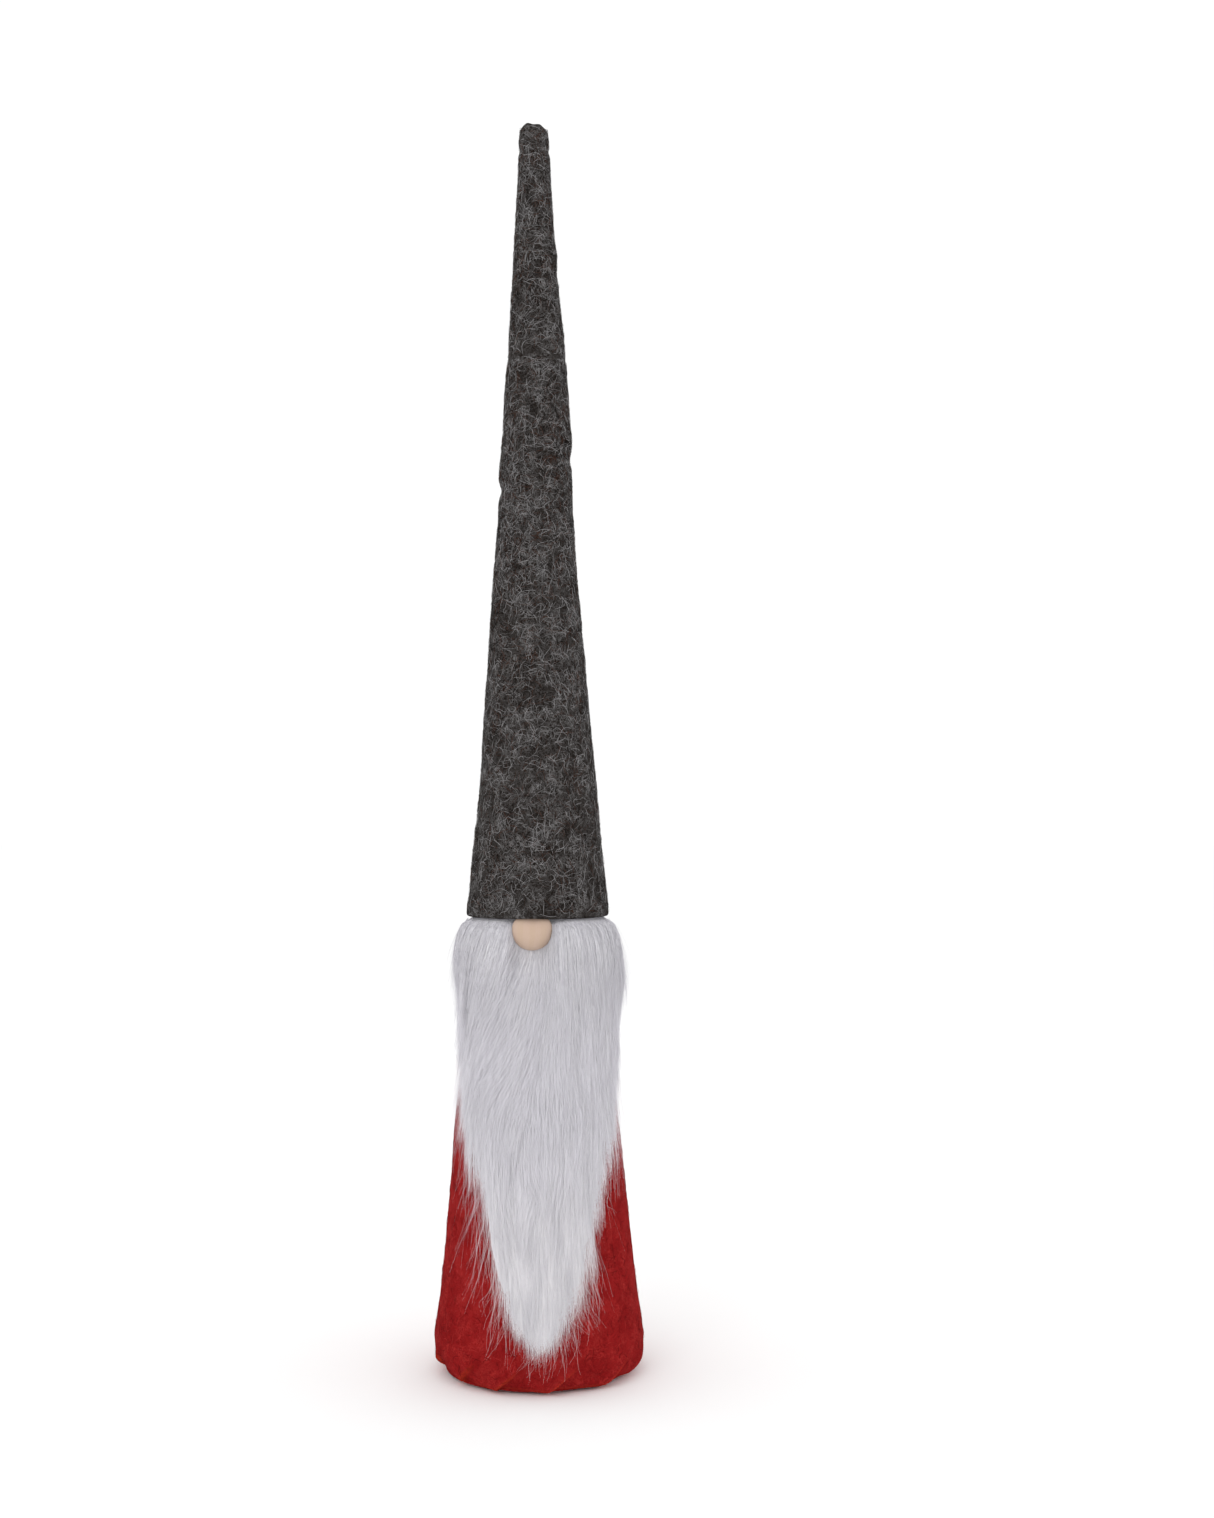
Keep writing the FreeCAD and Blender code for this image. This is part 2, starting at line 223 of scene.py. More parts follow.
# ---- meshes
def mesh_object(name, points, faces, material, sharp=None, attributes=()):
    """A mesh from points in millimetres and a list of face arrays. It keeps each point's place in "rest"."""
    points = np.asarray(points, float).reshape(-1, 3) * MM
    me = bpy.data.meshes.new(name)
    me.vertices.add(len(points))
    me.vertices.foreach_set("co", points.astype(np.float32).ravel())
    corners = np.concatenate([f.ravel() for f in faces]).astype(np.int32)
    sizes = np.concatenate([np.full(len(f), f.shape[1]) for f in faces])
    starts = np.concatenate([[0], np.cumsum(sizes)[:-1]]).astype(np.int32)
    me.loops.add(len(corners))
    me.loops.foreach_set("vertex_index", corners)
    me.polygons.add(len(sizes))
    me.polygons.foreach_set("loop_start", starts)
    me.update(calc_edges=True)
    me.polygons.foreach_set("use_smooth", np.ones(len(sizes), bool))
    rest = me.attributes.new("rest", "FLOAT_VECTOR", "POINT")
    rest.data.foreach_set("vector", points.astype(np.float32).ravel())
    for key, values in attributes:
        me.attributes.new(key, "FLOAT", "POINT").data.foreach_set("value", np.asarray(values, np.float32))
    if sharp:
        me.set_sharp_from_angle(angle=math.radians(sharp))
    me.materials.append(material)
    o = bpy.data.objects.new(name, me)
    bpy.context.scene.collection.objects.link(o)
    return o


def outward(o):
    """Turns every face of a closed mesh outward."""
    b = bmesh.new()
    b.from_mesh(o.data)
    bmesh.ops.recalc_face_normals(b, faces=b.faces)
    b.to_mesh(o.data)
    b.free()
    return o


def loft(rings, closed=False):
    """Quads between consecutive rings of points: rings is (ring, point, 3)."""
    count, around_count = rings.shape[:2]
    ids = np.arange(count * around_count).reshape(count, around_count)
    lower = ids if closed else ids[:-1]
    upper = np.roll(ids, -1, axis=0) if closed else ids[1:]
    quads = [lower, np.roll(lower, -1, axis=1), np.roll(upper, -1, axis=1), upper]
    return np.stack(quads, axis=-1).reshape(-1, 4)


def grid_quads(ids):
    """Quads between the rows and columns of an open grid."""
    return np.stack([ids[:-1, :-1], ids[:-1, 1:], ids[1:, 1:], ids[1:, :-1]], axis=-1).reshape(-1, 4)


def cap(ring_ids, centre_id):
    """Triangles from a ring to one point."""
    return np.stack([ring_ids, np.roll(ring_ids, -1), np.full(len(ring_ids), centre_id)], axis=-1)


def level(heights, depth=0.0):
    """Sections at one depth under a surface's outside."""
    return [(z, depth) for z in heights]


def rings_at(surface, a, sections):
    """Rings of a surface at (height, depth) sections."""
    return np.array([surface(a, z, d) for z, d in sections])


def capped_loft(name, rings, material, **options):
    """A closed solid through rings, with a point at the middle of each end ring."""
    count, n = rings.shape[:2]
    points = np.concatenate([rings.reshape(-1, 3), [rings[0].mean(0)], [rings[-1].mean(0)]])
    ends = [cap(np.arange(n), count * n), cap(np.arange(n) + (count - 1) * n, count * n + 1)]
    return outward(mesh_object(name, points, [loft(rings), *ends], material, **options))


def ribbons(paths, facing, widths, roll):
    """Flat tapered ribbons along paths (fibre, point, 3), facing a direction and rolled about themselves."""
    along = np.gradient(paths, axis=1)
    along /= np.linalg.norm(along, axis=2, keepdims=True) + 1e-9
    side = np.cross(along, facing)
    side /= np.linalg.norm(side, axis=2, keepdims=True) + 1e-9
    up = np.cross(side, along)
    side = side * np.cos(roll)[:, None, None] + up * np.sin(roll)[:, None, None]
    half = widths[..., None] / 2
    points = np.stack([paths - side * half, paths + side * half], axis=2)
    fibres, steps = paths.shape[:2]
    ids = np.arange(fibres * steps * 2).reshape(fibres, steps, 2)
    quads = np.stack([ids[:, :-1, 0], ids[:, :-1, 1], ids[:, 1:, 1], ids[:, 1:, 0]], axis=-1)
    return points.reshape(-1, 3), quads.reshape(-1, 4)


def tube(path, radius, sides=8):
    """Rings of a round tube along a path of points."""
    path = np.asarray(path, float)
    radius = np.broadcast_to(radius, len(path))
    along = np.gradient(path, axis=0)
    along /= np.linalg.norm(along, axis=1, keepdims=True)
    side = np.cross(along, [0.3, 0.2, 1.0])
    side /= np.linalg.norm(side, axis=1, keepdims=True)
    up = np.cross(along, side)
    t = np.arange(sides) * TAU / sides
    spokes = side[:, None] * np.cos(t)[None, :, None] + up[:, None] * np.sin(t)[None, :, None]
    return path[:, None] + spokes * radius[:, None, None]


# ---- materials
class Nodes:
    """A material's node tree, with short ways to add and join nodes."""

    def __init__(self, name, by_rest=True):
        self.material = bpy.data.materials.new(name)
        self.material.use_nodes = True
        self.tree = self.material.node_tree
        self.shader = self.tree.nodes["Principled BSDF"]
        self.place = self.attribute("rest", "Vector") if by_rest else self.add("ShaderNodeTexCoord", "Object")

    def attribute(self, name, output):
        return self.add("ShaderNodeAttribute", output, [("attribute_name", name)])

    def put(self, socket, value):
        if isinstance(value, bpy.types.NodeSocket):
            self.tree.links.new(value, socket)
        elif isinstance(value, tuple) and len(value) == 3 and socket.type == "RGBA":
            socket.default_value = (*value, 1.0)
        else:
            socket.default_value = value

    def add(self, kind, output=0, settings=(), **inputs):
        node = self.tree.nodes.new(kind)
        for key, value in settings:
            setattr(node, key, value)
        for key, value in inputs.items():
            self.put(node.inputs[int(key[1:])] if key[0] == "i" and key[1:].isdigit() else node.inputs[key],
                     value)
        return node.outputs[output]

    def maths(self, operation, a, b=0.0):
        return self.add("ShaderNodeMath", 0, [("operation", operation)], i0=a, i1=b)

    def times(self, a, b):
        return self.maths("MULTIPLY", a, b)

    def vector(self, operation, a, b):
        return self.add("ShaderNodeVectorMath", 0, [("operation", operation)], i0=a, i1=b)

    def grain(self, scale, detail=2.0, rough=0.5, seed=0.0, place=None, colour=False):
        return self.add("ShaderNodeTexNoise", 1 if colour else 0, [("noise_dimensions", "4D")], W=seed,
                        Scale=scale, Vector=place or self.place, Detail=detail, Roughness=rough)

    def remap(self, value, low, high, to_low=0.0, to_high=1.0):
        return self.add("ShaderNodeMapRange", 0, [("interpolation_type", "SMOOTHSTEP")], i0=value, i1=low,
                        i2=high, i3=to_low, i4=to_high)

    def mix(self, share, a, b):
        return self.add("ShaderNodeMix", 2, [("data_type", "RGBA")], i0=share, i6=a, i7=b)

    def stretched(self, across, along):
        """The place scaled on its own across and along the object's height, for streaks."""
        return self.vector("MULTIPLY", self.place, (across, across, along))

    def warped(self, scale, amount, seed, place=None):
        """The place pushed about by noise, so that straight patterns curl."""
        push = self.grain(scale, 1.0, seed=seed, place=place, colour=True)
        push = self.vector("SUBTRACT", push, (0.5, 0.5, 0.5))
        push = self.vector("MULTIPLY", push, (amount, amount, amount))
        return self.vector("ADD", place or self.place, push)

    def fibres(self, scale, thin, seed, place=None, detail=0.0):
        """Thin curling lines, 1 on the line and 0 off it: the level lines of a noise."""
        value = self.grain(scale, detail, seed=seed, place=place)
        away = self.maths("ABSOLUTE", self.maths("SUBTRACT", value, 0.5))
        return self.remap(away, 0.0, thin, 1.0, 0.0)

    def bump(self, height, distance, strength=1.0, **under):
        return self.add("ShaderNodeBump", 0, (), Strength=strength, Distance=distance, Height=height, **under)

    def finish(self, colour, normal, roughness, **plain):
        for key, value in {"Base_Color": colour, "Normal": normal, "Roughness": roughness, **plain}.items():
            if value is not None:
                self.put(self.shader.inputs[key.replace("_", " ")], value)
        return self.material


def srgb(red, green, blue):
    """A colour given as it shows, from 0 to 255, in the renderer's linear numbers."""
    linear = []
    for v in (red, green, blue):
        v = v / 255
        linear.append(v / 12.92 if v <= 0.04045 else ((v + 0.055) / 1.055) ** 2.4)
    return tuple(linear)


def dim(tone, share):
    return tuple(share * c for c in tone)


def felt_material(name, deep, base, pale, dark_fibre, pale_fibre, spread, edge=None):
    """Pressed wool felt: mottled cloth matted from fine curling fibres of other tones, with a painted
    highlight in the edge colour where one is given.
    """
    n = Nodes(name)
    curl = n.warped(170.0, 0.005, 3.1)
    fine = n.warped(560.0, 0.0014, 8.4, curl)
    mottle = n.grain(85.0, 3.0, 0.6, seed=1.7)
    clouds = n.grain(430.0, 3.0, 0.7, seed=5.2)
    patches = n.grain(26.0, 2.0, 0.5, seed=27.0)
    colour = n.mix(n.remap(n.maths("ADD", mottle, n.times(patches, 0.5)), 0.50, 1.00), deep, base)
    colour = n.mix(n.remap(clouds, 0.46, 0.70, 0.0, 0.45 * spread), colour, pale)
    here = n.remap(n.grain(150.0, 2.0, 0.6, seed=9.0), 0.36, 0.62)
    there = n.remap(n.grain(130.0, 2.0, 0.6, seed=15.0), 0.40, 0.64)
    dark = n.maths("MAXIMUM", n.fibres(430.0, 0.075, 11.0, curl), n.fibres(760.0, 0.10, 12.5, fine))
    colour = n.mix(n.times(dark, n.remap(here, 0.0, 1.0, 0.3 * spread, 0.9 * spread)), colour, dark_fibre)
    light = n.maths("MAXIMUM", n.fibres(380.0, 0.050, 21.0, curl), n.fibres(640.0, 0.065, 23.5, fine))
    light = n.maths("MAXIMUM", light, n.fibres(900.0, 0.075, 31.5, curl))
    colour = n.mix(n.times(light, n.remap(there, 0.0, 1.0, 0.2 * spread, 0.85 * spread)), colour, pale_fibre)
    # painted highlight: where the mesh's edge attribute is high, the felt is mixed up to three quarters of
    # the way to the bright edge colour
    if edge:
        colour = n.mix(n.times(n.attribute("edge", "Fac"), 0.75), colour, edge)
    lumps = n.maths("ADD", n.times(clouds, 0.8), n.times(light, 0.35))
    lumps = n.maths("SUBTRACT", lumps, n.times(dark, 0.25))
    normal = n.bump(lumps, 0.0006, 0.7)
    normal = n.bump(n.grain(2300.0, 2.0, seed=2.2, place=fine), 0.0002, 0.6, Normal=normal)
    rough = n.remap(clouds, 0.3, 0.7, 0.88, 0.98)
    return n.finish(colour, normal, rough, Specular_IOR_Level=0.015)


def hair_material(name, tone, tip):
    """Acrylic pile: a tone that varies along the strands and pales downwards, with painted shade darkening
    its top.
    """
    n = Nodes(name)
    streak = n.grain(1.0, 2.0, seed=4.0, place=n.stretched(500.0, 60.0))
    height = n.add("ShaderNodeSeparateXYZ", 2, (), Vector=n.place)
    colour = n.mix(n.remap(height, 0.130, 0.040), tone, tip)
    # painted shade: the upper pile, from 150 to 190 mm up, darkened to 0.89 of its tone
    colour = n.mix(n.remap(height, 0.150, 0.190), colour, dim(tone, 0.89))
    # painted shade: a band from about 188 to 216 mm up, where the pile bulges out under the hat's rim,
    # darkened to 0.82 of its tone
    colour = n.mix(n.times(n.remap(height, 0.188, 0.204), n.remap(height, 0.216, 0.210)), colour,
                   dim(tone, 0.82))
    colour = n.mix(n.remap(streak, 0.35, 0.65, 0.5, 0.0), colour, dim(tone, 0.88))
    locks = n.grain(1.0, 2.0, 0.6, seed=8.0, place=n.stretched(170.0, 26.0))
    colour = n.mix(n.remap(locks, 0.36, 0.56, 0.5, 0.0), colour, dim(tone, 0.89))
    return n.finish(colour, None, 0.6, Specular_IOR_Level=0.2)


def fuzz_material(name, tone):
    n = Nodes(name)
    colour = n.mix(n.remap(n.grain(700.0, 1.0, seed=6.0), 0.35, 0.65), dim(tone, 0.75), tone)
    return n.finish(colour, None, 0.9, Specular_IOR_Level=0.03)


def wood_material():
    """Pale sanded hardwood with faint growth rings and pores."""
    n = Nodes("pale_wood")
    swirl = n.warped(90.0, 0.004, 2.0)
    rings = n.add("ShaderNodeTexWave", 1, [("wave_type", "BANDS"), ("bands_direction", "X")], Vector=swirl,
                  Scale=60.0, Distortion=1.5, Detail=2.0)
    streaks = n.grain(1.0, 2.0, seed=7.0, place=n.stretched(2400.0, 200.0))
    colour = n.mix(n.remap(rings, 0.1, 0.9), srgb(197, 172, 154), srgb(195, 170, 150))
    tint = n.grain(70.0, 1.0, seed=4.0)
    colour = n.mix(n.remap(tint, 0.35, 0.65, 0.0, 0.6), colour, srgb(198, 169, 154))
    colour = n.mix(n.remap(streaks, 0.45, 0.75, 0.0, 0.16), colour, srgb(186, 158, 137))
    normal = n.bump(streaks, 0.00004, 0.4)
    return n.finish(colour, normal, n.remap(streaks, 0.3, 0.8, 0.55, 0.72), Specular_IOR_Level=0.25)


def cloth_material(name, warm, shade, count=1400.0):
    """Plain-woven or knitted cloth from two crossing waves."""
    n = Nodes(name)
    up, over = (n.add("ShaderNodeTexWave", 1, [("bands_direction", axis)], Vector=n.place, Scale=count / 3.2,
                      Distortion=0.4) for axis in "ZX")
    weave = n.times(up, over)
    dirt = n.grain(90.0, 3.0, seed=3.0)
    colour = n.mix(n.remap(weave, 0.05, 0.5), shade, warm)
    colour = n.mix(n.remap(dirt, 0.5, 0.75, 0.0, 0.3), colour, shade)
    return n.finish(colour, n.bump(weave, 0.00012, 0.7), n.remap(dirt, 0.3, 0.7, 0.82, 0.95))


def filling_material():
    """Loose white polyester fibre."""
    n = Nodes("polyester_fibre")
    curl = n.warped(150.0, 0.006, 3.0)
    lines = n.maths("MAXIMUM", n.fibres(420.0, 0.05, 2.0, curl), n.fibres(800.0, 0.06, 5.0, curl))
    colour = n.mix(lines, srgb(214, 214, 212), srgb(246, 246, 245))
    return n.finish(colour, n.bump(lines, 0.0008, 0.8), n.remap(lines, 0.0, 1.0, 0.95, 0.7), Sheen_Weight=0.2)


def sand_material():
    n = Nodes("sand", False)
    grains = n.add("ShaderNodeTexVoronoi", 1, (), Vector=n.place, Scale=1800.0)
    tone = n.add("ShaderNodeSeparateColor", 0, (), Color=grains)
    colour = n.mix(tone, srgb(150, 122, 86), srgb(212, 190, 150))
    return n.finish(colour, n.bump(tone, 0.0003, 0.8), n.remap(tone, 0.0, 1.0, 0.6, 0.95))


def blotchy(name, dark, pale, depth, rough, grain, high=0.65, stretch=None, **plain):
    """One noise between two tones, which also roughens and dents the surface."""
    n = Nodes(name, False)
    tone = n.grain(*grain, seed=1.0, place=n.stretched(*stretch) if stretch else None)
    colour = n.mix(n.remap(tone, 0.35, high), srgb(*dark), srgb(*pale))
    return n.finish(colour, n.bump(tone, depth, 0.5), n.remap(tone, 0.3, 0.7, *rough), **plain)


def board_material():
    return blotchy("fibreboard", (104, 76, 50), (150, 116, 82), 0.0002, (0.55, 0.8), (1200.0, 4.0, 0.7), 0.7)


def glue_material():
    return blotchy("hot_melt_glue", (206, 196, 166), (228, 222, 200), 0.0004, (0.25, 0.4), (300.0, 2.0))


def wire_material():
    return blotchy("steel_wire", (126, 127, 130), (182, 183, 186), 0.00004, (0.28, 0.45), (1.0, 2.0),
                   stretch=(6000.0, 120.0), Metallic=1.0)


def thread_material(name, tone):
    n = Nodes(name)
    twist = n.add("ShaderNodeTexWave", 1, [("bands_direction", "DIAGONAL")], Vector=n.place, Scale=900.0)
    colour = n.mix(n.remap(twist, 0.2, 0.8), dim(tone, 0.55), tone)
    return n.finish(colour, n.bump(twist, 0.0001, 0.6), n.remap(twist, 0.0, 1.0, 0.8, 0.65),
                    Specular_IOR_Level=0.1)


GREY_FELT = felt_material("grey_felt", srgb(34, 29, 26), srgb(49, 45, 42), srgb(64, 62, 61), srgb(23, 17, 14),
                          srgb(122, 120, 120), 0.8)
# the red felt's edge colour, a bright orange-red, is a painted highlight for its rolled edges
RED_FELT = felt_material("red_felt", srgb(132, 21, 23), srgb(152, 31, 32), srgb(163, 38, 37),
                         srgb(104, 11, 15), srgb(180, 54, 51), 0.65, edge=srgb(216, 70, 47))
COVER_FELT = felt_material("cover_felt", srgb(112, 20, 22), srgb(126, 26, 28), srgb(138, 34, 34),
                           srgb(90, 12, 16), srgb(156, 50, 48), 0.6)


# ---- the hat
def hat_pieces():
    """The hat's felt in two pieces that meet on one ring: the lower from the rim to the split, the upper from
    the split to the tip.
    """
    a = np.arange(132) * TAU / 132
    rim = [(HAT_RIM + 0.5, 0.12), (HAT_RIM - 0.1, 0.6), (HAT_RIM - 0.35, 1.4), (HAT_RIM - 0.1, 2.3),
           (HAT_RIM + 0.6, 2.85)]
    sections = level(np.linspace(HAT_SPLIT, HAT_RIM + 1.4, 176)) + rim
    sections += level(np.linspace(HAT_RIM + 1.8, HAT_SPLIT, 60), HAT_FELT)
    rings = rings_at(hat_surface, a, sections)
    lower = outward(mesh_object("hat_felt", rings, [loft(rings, closed=True)], GREY_FELT, sharp=60))
    dome = [(596.9, 0.35), (597.8, 0.9), (598.5, 1.6), (599.0, 2.4), (599.3, 3.4), (599.4, 4.4), (599.4, 5.4)]
    sections = level(np.linspace(592.0, HAT_SPLIT, 40), HAT_FELT)
    sections += level(np.linspace(HAT_SPLIT, 596.0, 84)) + dome
    return lower, capped_loft("hat_felt_top", rings_at(hat_surface, a, sections), GREY_FELT, sharp=60)


def hat_filling():
    """Lumpy stuffing that fills the hat, in the same two lengths as its felt."""
    a = np.arange(48) * TAU / 48
    made = []
    material = filling_material()
    for name, low, high in (("hat_stuffing", 300.4, HAT_SPLIT), ("hat_stuffing_top", HAT_SPLIT, 589.0)):
        rings = []
        for z in np.linspace(low, high, 44):
            end = 0.4 * bump(z - low, 3.0) + 0.4 * bump(z - high, 3.0)
            ring = hat_surface(a, z, HAT_FELT + 0.25 + end)
            rings.append(ring + 0.12 * noise(ring, 5.0, 31)[:, None] * [1, 1, 0] * (1 - 2 * end))
        made.append(capped_loft(name, np.array(rings), material, sharp=70))
    return made


def bend_hat(o, upper):
    """Bakes a hat piece's transform into its mesh, the same whether it lies above the split or below it."""
    if upper:
        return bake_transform(o)
    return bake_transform(o)


# ---- fibres, stitches and fuzz
def fibre_mesh(name, paths, a, tilt, taper, roll, material):
    """Flat fibres that face outward. Each has its own cell of a square map for baked colours."""
    points, quads = ribbons(paths, around(a, 1.0, tilt), taper, roll)
    o = mesh_object(name, points, [quads], material)
    fibres, steps = paths.shape[:2]
    side = math.ceil(math.sqrt(fibres))
    cell = np.arange(fibres)
    t = np.linspace(0.2, 0.8, steps)
    u = ((cell % side)[:, None, None] + np.array([0.3, 0.7])[None, None, :] + 0 * t[None, :, None]) / side
    v = ((cell // side)[:, None, None] + t[None, :, None] + 0 * u) / side
    flat = np.stack([u, v], axis=-1).reshape(-1, 2)
    corners = np.empty(len(o.data.loops), np.int32)
    o.data.loops.foreach_get("vertex_index", corners)
    o.data.uv_layers.new(name="OFBake").data.foreach_set("uv", flat[corners].astype(np.float32).ravel())
    return o


def stitch_rows(name, surface, low, high, start, material):
    """Stitches down the back seam: short bowed threads whose ends go into the felt."""
    points, faces, offset, length = [], [], 0, 3.4
    for z in np.arange(start, high - length, STITCH_PITCH):
        if z < low:
            continue
        t = np.linspace(0, 1, 7)
        depth = 0.35 - 0.75 * np.sin(math.pi * t) ** 0.6
        path = surface(math.pi + 0.0 * t, z + length * t, depth)
        path[:, 0] += 0.18 * (2 * t - 1)
        rings = tube(path, 0.34 * np.sin(math.pi * (0.08 + 0.84 * t)) ** 0.4)
        points.append(rings.reshape(-1, 3))
        n = rings.shape[1]
        last = np.arange(n) + (len(t) - 1) * n
        faces += [loft(rings) + offset, np.array([np.arange(n)[::-1] + offset]), np.array([last + offset])]
        offset += rings.shape[0] * n
    return mesh_object(name, np.concatenate(points), faces, material)


def felt_fuzz(name, surface, low, high, count, lengths, lift, width, material, seed, skip=None, clump=0.0):
    """Loose fibres that lie curled on the felt or a little off it, matted into patches if clump isn't 0."""
    rng = np.random.default_rng(seed)
    z0 = rng.uniform(low, high, count)
    a0 = rng.uniform(-math.pi, math.pi, count)
    length = rng.uniform(*lengths, count)
    heading = rng.normal(math.pi / 2, 1.0, count)
    curl = rng.normal(0, 1.0, count)
    wave = rng.normal(0, 0.5, count)
    steps = np.linspace(0, 1, 6)
    angle = heading[:, None] + curl[:, None] * steps + wave[:, None] * np.sin(TAU * steps)
    move = length[:, None] / (len(steps) - 1)
    radius = np.linalg.norm(surface(a0, z0)[:, :2], axis=1)[:, None]
    a = a0[:, None] + np.cumsum(np.cos(angle) * move, axis=1) / radius
    z = z0[:, None] + np.cumsum(np.sin(angle) * move, axis=1)
    rise = rng.uniform(*lift, count)[:, None]
    rise = rise * np.sin(math.pi * (0.12 + 0.88 * steps * rng.uniform(0.5, 1, count)[:, None]))
    keep = (z.min(1) > low) & (z.max(1) < high)
    matted = smooth_step(-0.5, 0.5, clump * noise(surface(a0, z0), 7.0, 7) + 0.05)
    keep &= rng.uniform(0, 1, count) < (0.42 + 0.58 * matted if clump else 1.0)
    if skip is not None:
        keep &= ~skip(a[:, 0], z[:, 0])
    a, z, rise = a[keep], z[keep], rise[keep]
    paths = surface(a, z, -np.maximum(rise, 0.02))
    taper = (width * (1 - 0.55 * np.abs(2 * steps - 1) ** 1.5))[None] * rng.uniform(0.6, 1.3, len(a))[:, None]
    return fibre_mesh(name, paths, a, 0.1, taper, rng.normal(0, 0.5, len(a)), material)


# ---- the body
def body_piece():
    """The red sleeve: its hem rolls in at the foot in overlapping petals."""
    a = np.arange(360) * TAU / 360
    sections = level(np.concatenate([np.linspace(300.0, 20.0, 170), np.linspace(18.6, 1.6, 22)]))
    sections += [(0.75, 0.5), (0.4, 1.1), (0.45, 1.9), (0.9, 2.5)]
    sections += level(np.concatenate([np.linspace(3.6, 20.0, 10), np.linspace(26.0, 300.0, 60)]), BODY_FELT)
    heights = np.array([z for z, _ in sections])
    rings = rings_at(body_surface, a, sections)
    f = petal_place(a[None, :], heights[:, None])
    # painted highlight: a bright line along each petal's rolled edge near the hem, and a fainter lightening
    # round the bottom of the rolled foot by the floor
    edge_highlight = smooth_step(0.90, 0.965, f) * smooth_step(1.0, 0.985, f) * hem_fade(heights[:, None] + 2)
    bottom_highlight = 0.35 * smooth_step(3.5, 1.5, heights[:, None]) + 0 * f
    edge = np.clip(edge_highlight + bottom_highlight, 0, 1).ravel()
    return outward(mesh_object("body_felt", rings, [loft(rings, closed=True)], RED_FELT, sharp=75,
                               attributes=[("edge", edge)]))


def flap_pieces():
    """The hem's flaps under the board, each a curved slip of felt that overlaps its neighbour a little."""
    points, faces, edges, offset = [], [], [], 0
    bounds = [math.radians(d) for d in PETALS + [PETALS[0] + 360]]
    for start, end in zip(bounds, bounds[1:]):
        across = np.linspace(0, 1, 9)
        r = 24.0 + 20.0 * across
        middle = (start + end) / 2
        a = middle + (np.linspace(start + 0.02, end - 0.02, 14)[:, None] - middle) * (1 - 0.12 * (1 - across))
        low = 1.3 + 0.25 * noise(around(a, r, 0.0), 8.0, 41)
        both = np.concatenate([around(a, r, low), around(a, r, low + 2.2)[:, ::-1]], axis=1)
        points.append(both.reshape(-1, 3))
        n = both.shape[1]
        ids = np.arange(len(a) * n).reshape(len(a), n)
        faces += [loft(both) + offset, ids[:1] + offset, ids[-1:, ::-1] + offset]
        # painted highlight: the edge colour is strongest at each flap's two side edges
        side = np.abs(2 * np.linspace(0, 1, len(a)) - 1)[:, None] ** 8 + 0 * both[..., 0]
        edges.append(side.ravel())
        offset += len(a) * n
    return outward(mesh_object("hem_flaps", np.concatenate(points), faces, RED_FELT, sharp=50,
                               attributes=[("edge", np.concatenate(edges))]))


def cover_piece():
    """The felt disc under the base, its cut edge soft and slightly uneven."""
    a = np.arange(120) * TAU / 120
    ragged = 38.0 + 0.25 * noise(around(a, 38.0, 0.0), 5.0, 51)
    rings = []
    for share, z in ((0.5, 0.04), (0.95, 0.04), (0.99, 0.12), (1.0, 0.6), (0.99, 1.08), (0.95, 1.16),
                     (0.5, 1.16)):
        lift = 0.05 * (1 + noise(around(a, share * 38, 0.0), 6.0, 52)) * (z < 0.1)
        rings.append(around(a, share * ragged, z + lift))
    return capped_loft("base_cover", np.array(rings), COVER_FELT, sharp=60)


def pouch_piece():
    """The sand's pouch: a plump round bag with a drawn seam round its middle."""
    a = np.arange(96) * TAU / 96
    rings = []
    for t in np.linspace(-0.985, 0.985, 33):
        z = 21.2 + 13.9 * math.copysign(abs(math.sin(t * math.pi / 2)) ** 0.8, t)
        r = 41.8 * max(1 - abs(t) ** 4.5, 0.02) ** 0.38
        pleat = 0.5 * (abs(t) ** 3) * np.cos(22 * a) + 0.4 * noise(around(a, r, z), 11.0, 61)
        rings.append(around(a, np.maximum(r - 0.5 + pleat - 0.6 * bump(t, 0.03), 0.3), z))
    calico = cloth_material("calico", srgb(216, 208, 188), srgb(176, 166, 142))
    return capped_loft("weight_pouch", np.array(rings), calico)


def body_filling():
    """Lumpy stuffing from the pouch to the top of the body."""
    a = np.arange(72) * TAU / 72
    rings = []
    for z in np.linspace(36.2, 299.2, 110):
        end = 1.2 * bump(z - 36.2, 4.0) + 0.8 * bump(z - 299.2, 3.0)
        ring = body_surface(a, z, BODY_FELT + 0.35 + end)
        lumps = 0.3 * noise(ring, 9.0, 71)[:, None] * [1, 1, 0]
        ring = ring + lumps - 0.3 * ring / np.abs(ring).max() * [1, 1, 0]
        rings.append(ring)
    return capped_loft("body_stuffing", np.array(rings), filling_material(), sharp=70)


# ---- the beard
def pile_height(a, z):
    """How far the fur's outside stands off the body: least behind the nose and in the parting below it."""
    to_right = smooth_step(-0.6, 0.6, a)
    side = left_pile(z) + (right_pile(z) - left_pile(z)) * to_right
    height = side + (front_pile(z) - side) * np.clip(np.cos(a), 0, 1) ** 1.6
    x = FRONT_RADIUS * a - NOSE[0]
    height = height * (1 - 0.64 * np.exp(-((x / 10.4) ** 8)) * smooth_step(184, 204, z))
    return height - 2.0 * bump(x - 4.0, 5.0) * bump(z - 172, 20.0)


def under_beard(a, z):
    """True where the beard hides the body, so that no fuzz is grown there."""
    degrees = np.degrees(turn_from(a, 0.0))
    return (z > root_edge(degrees) - 20) & (np.abs(degrees) < 88)


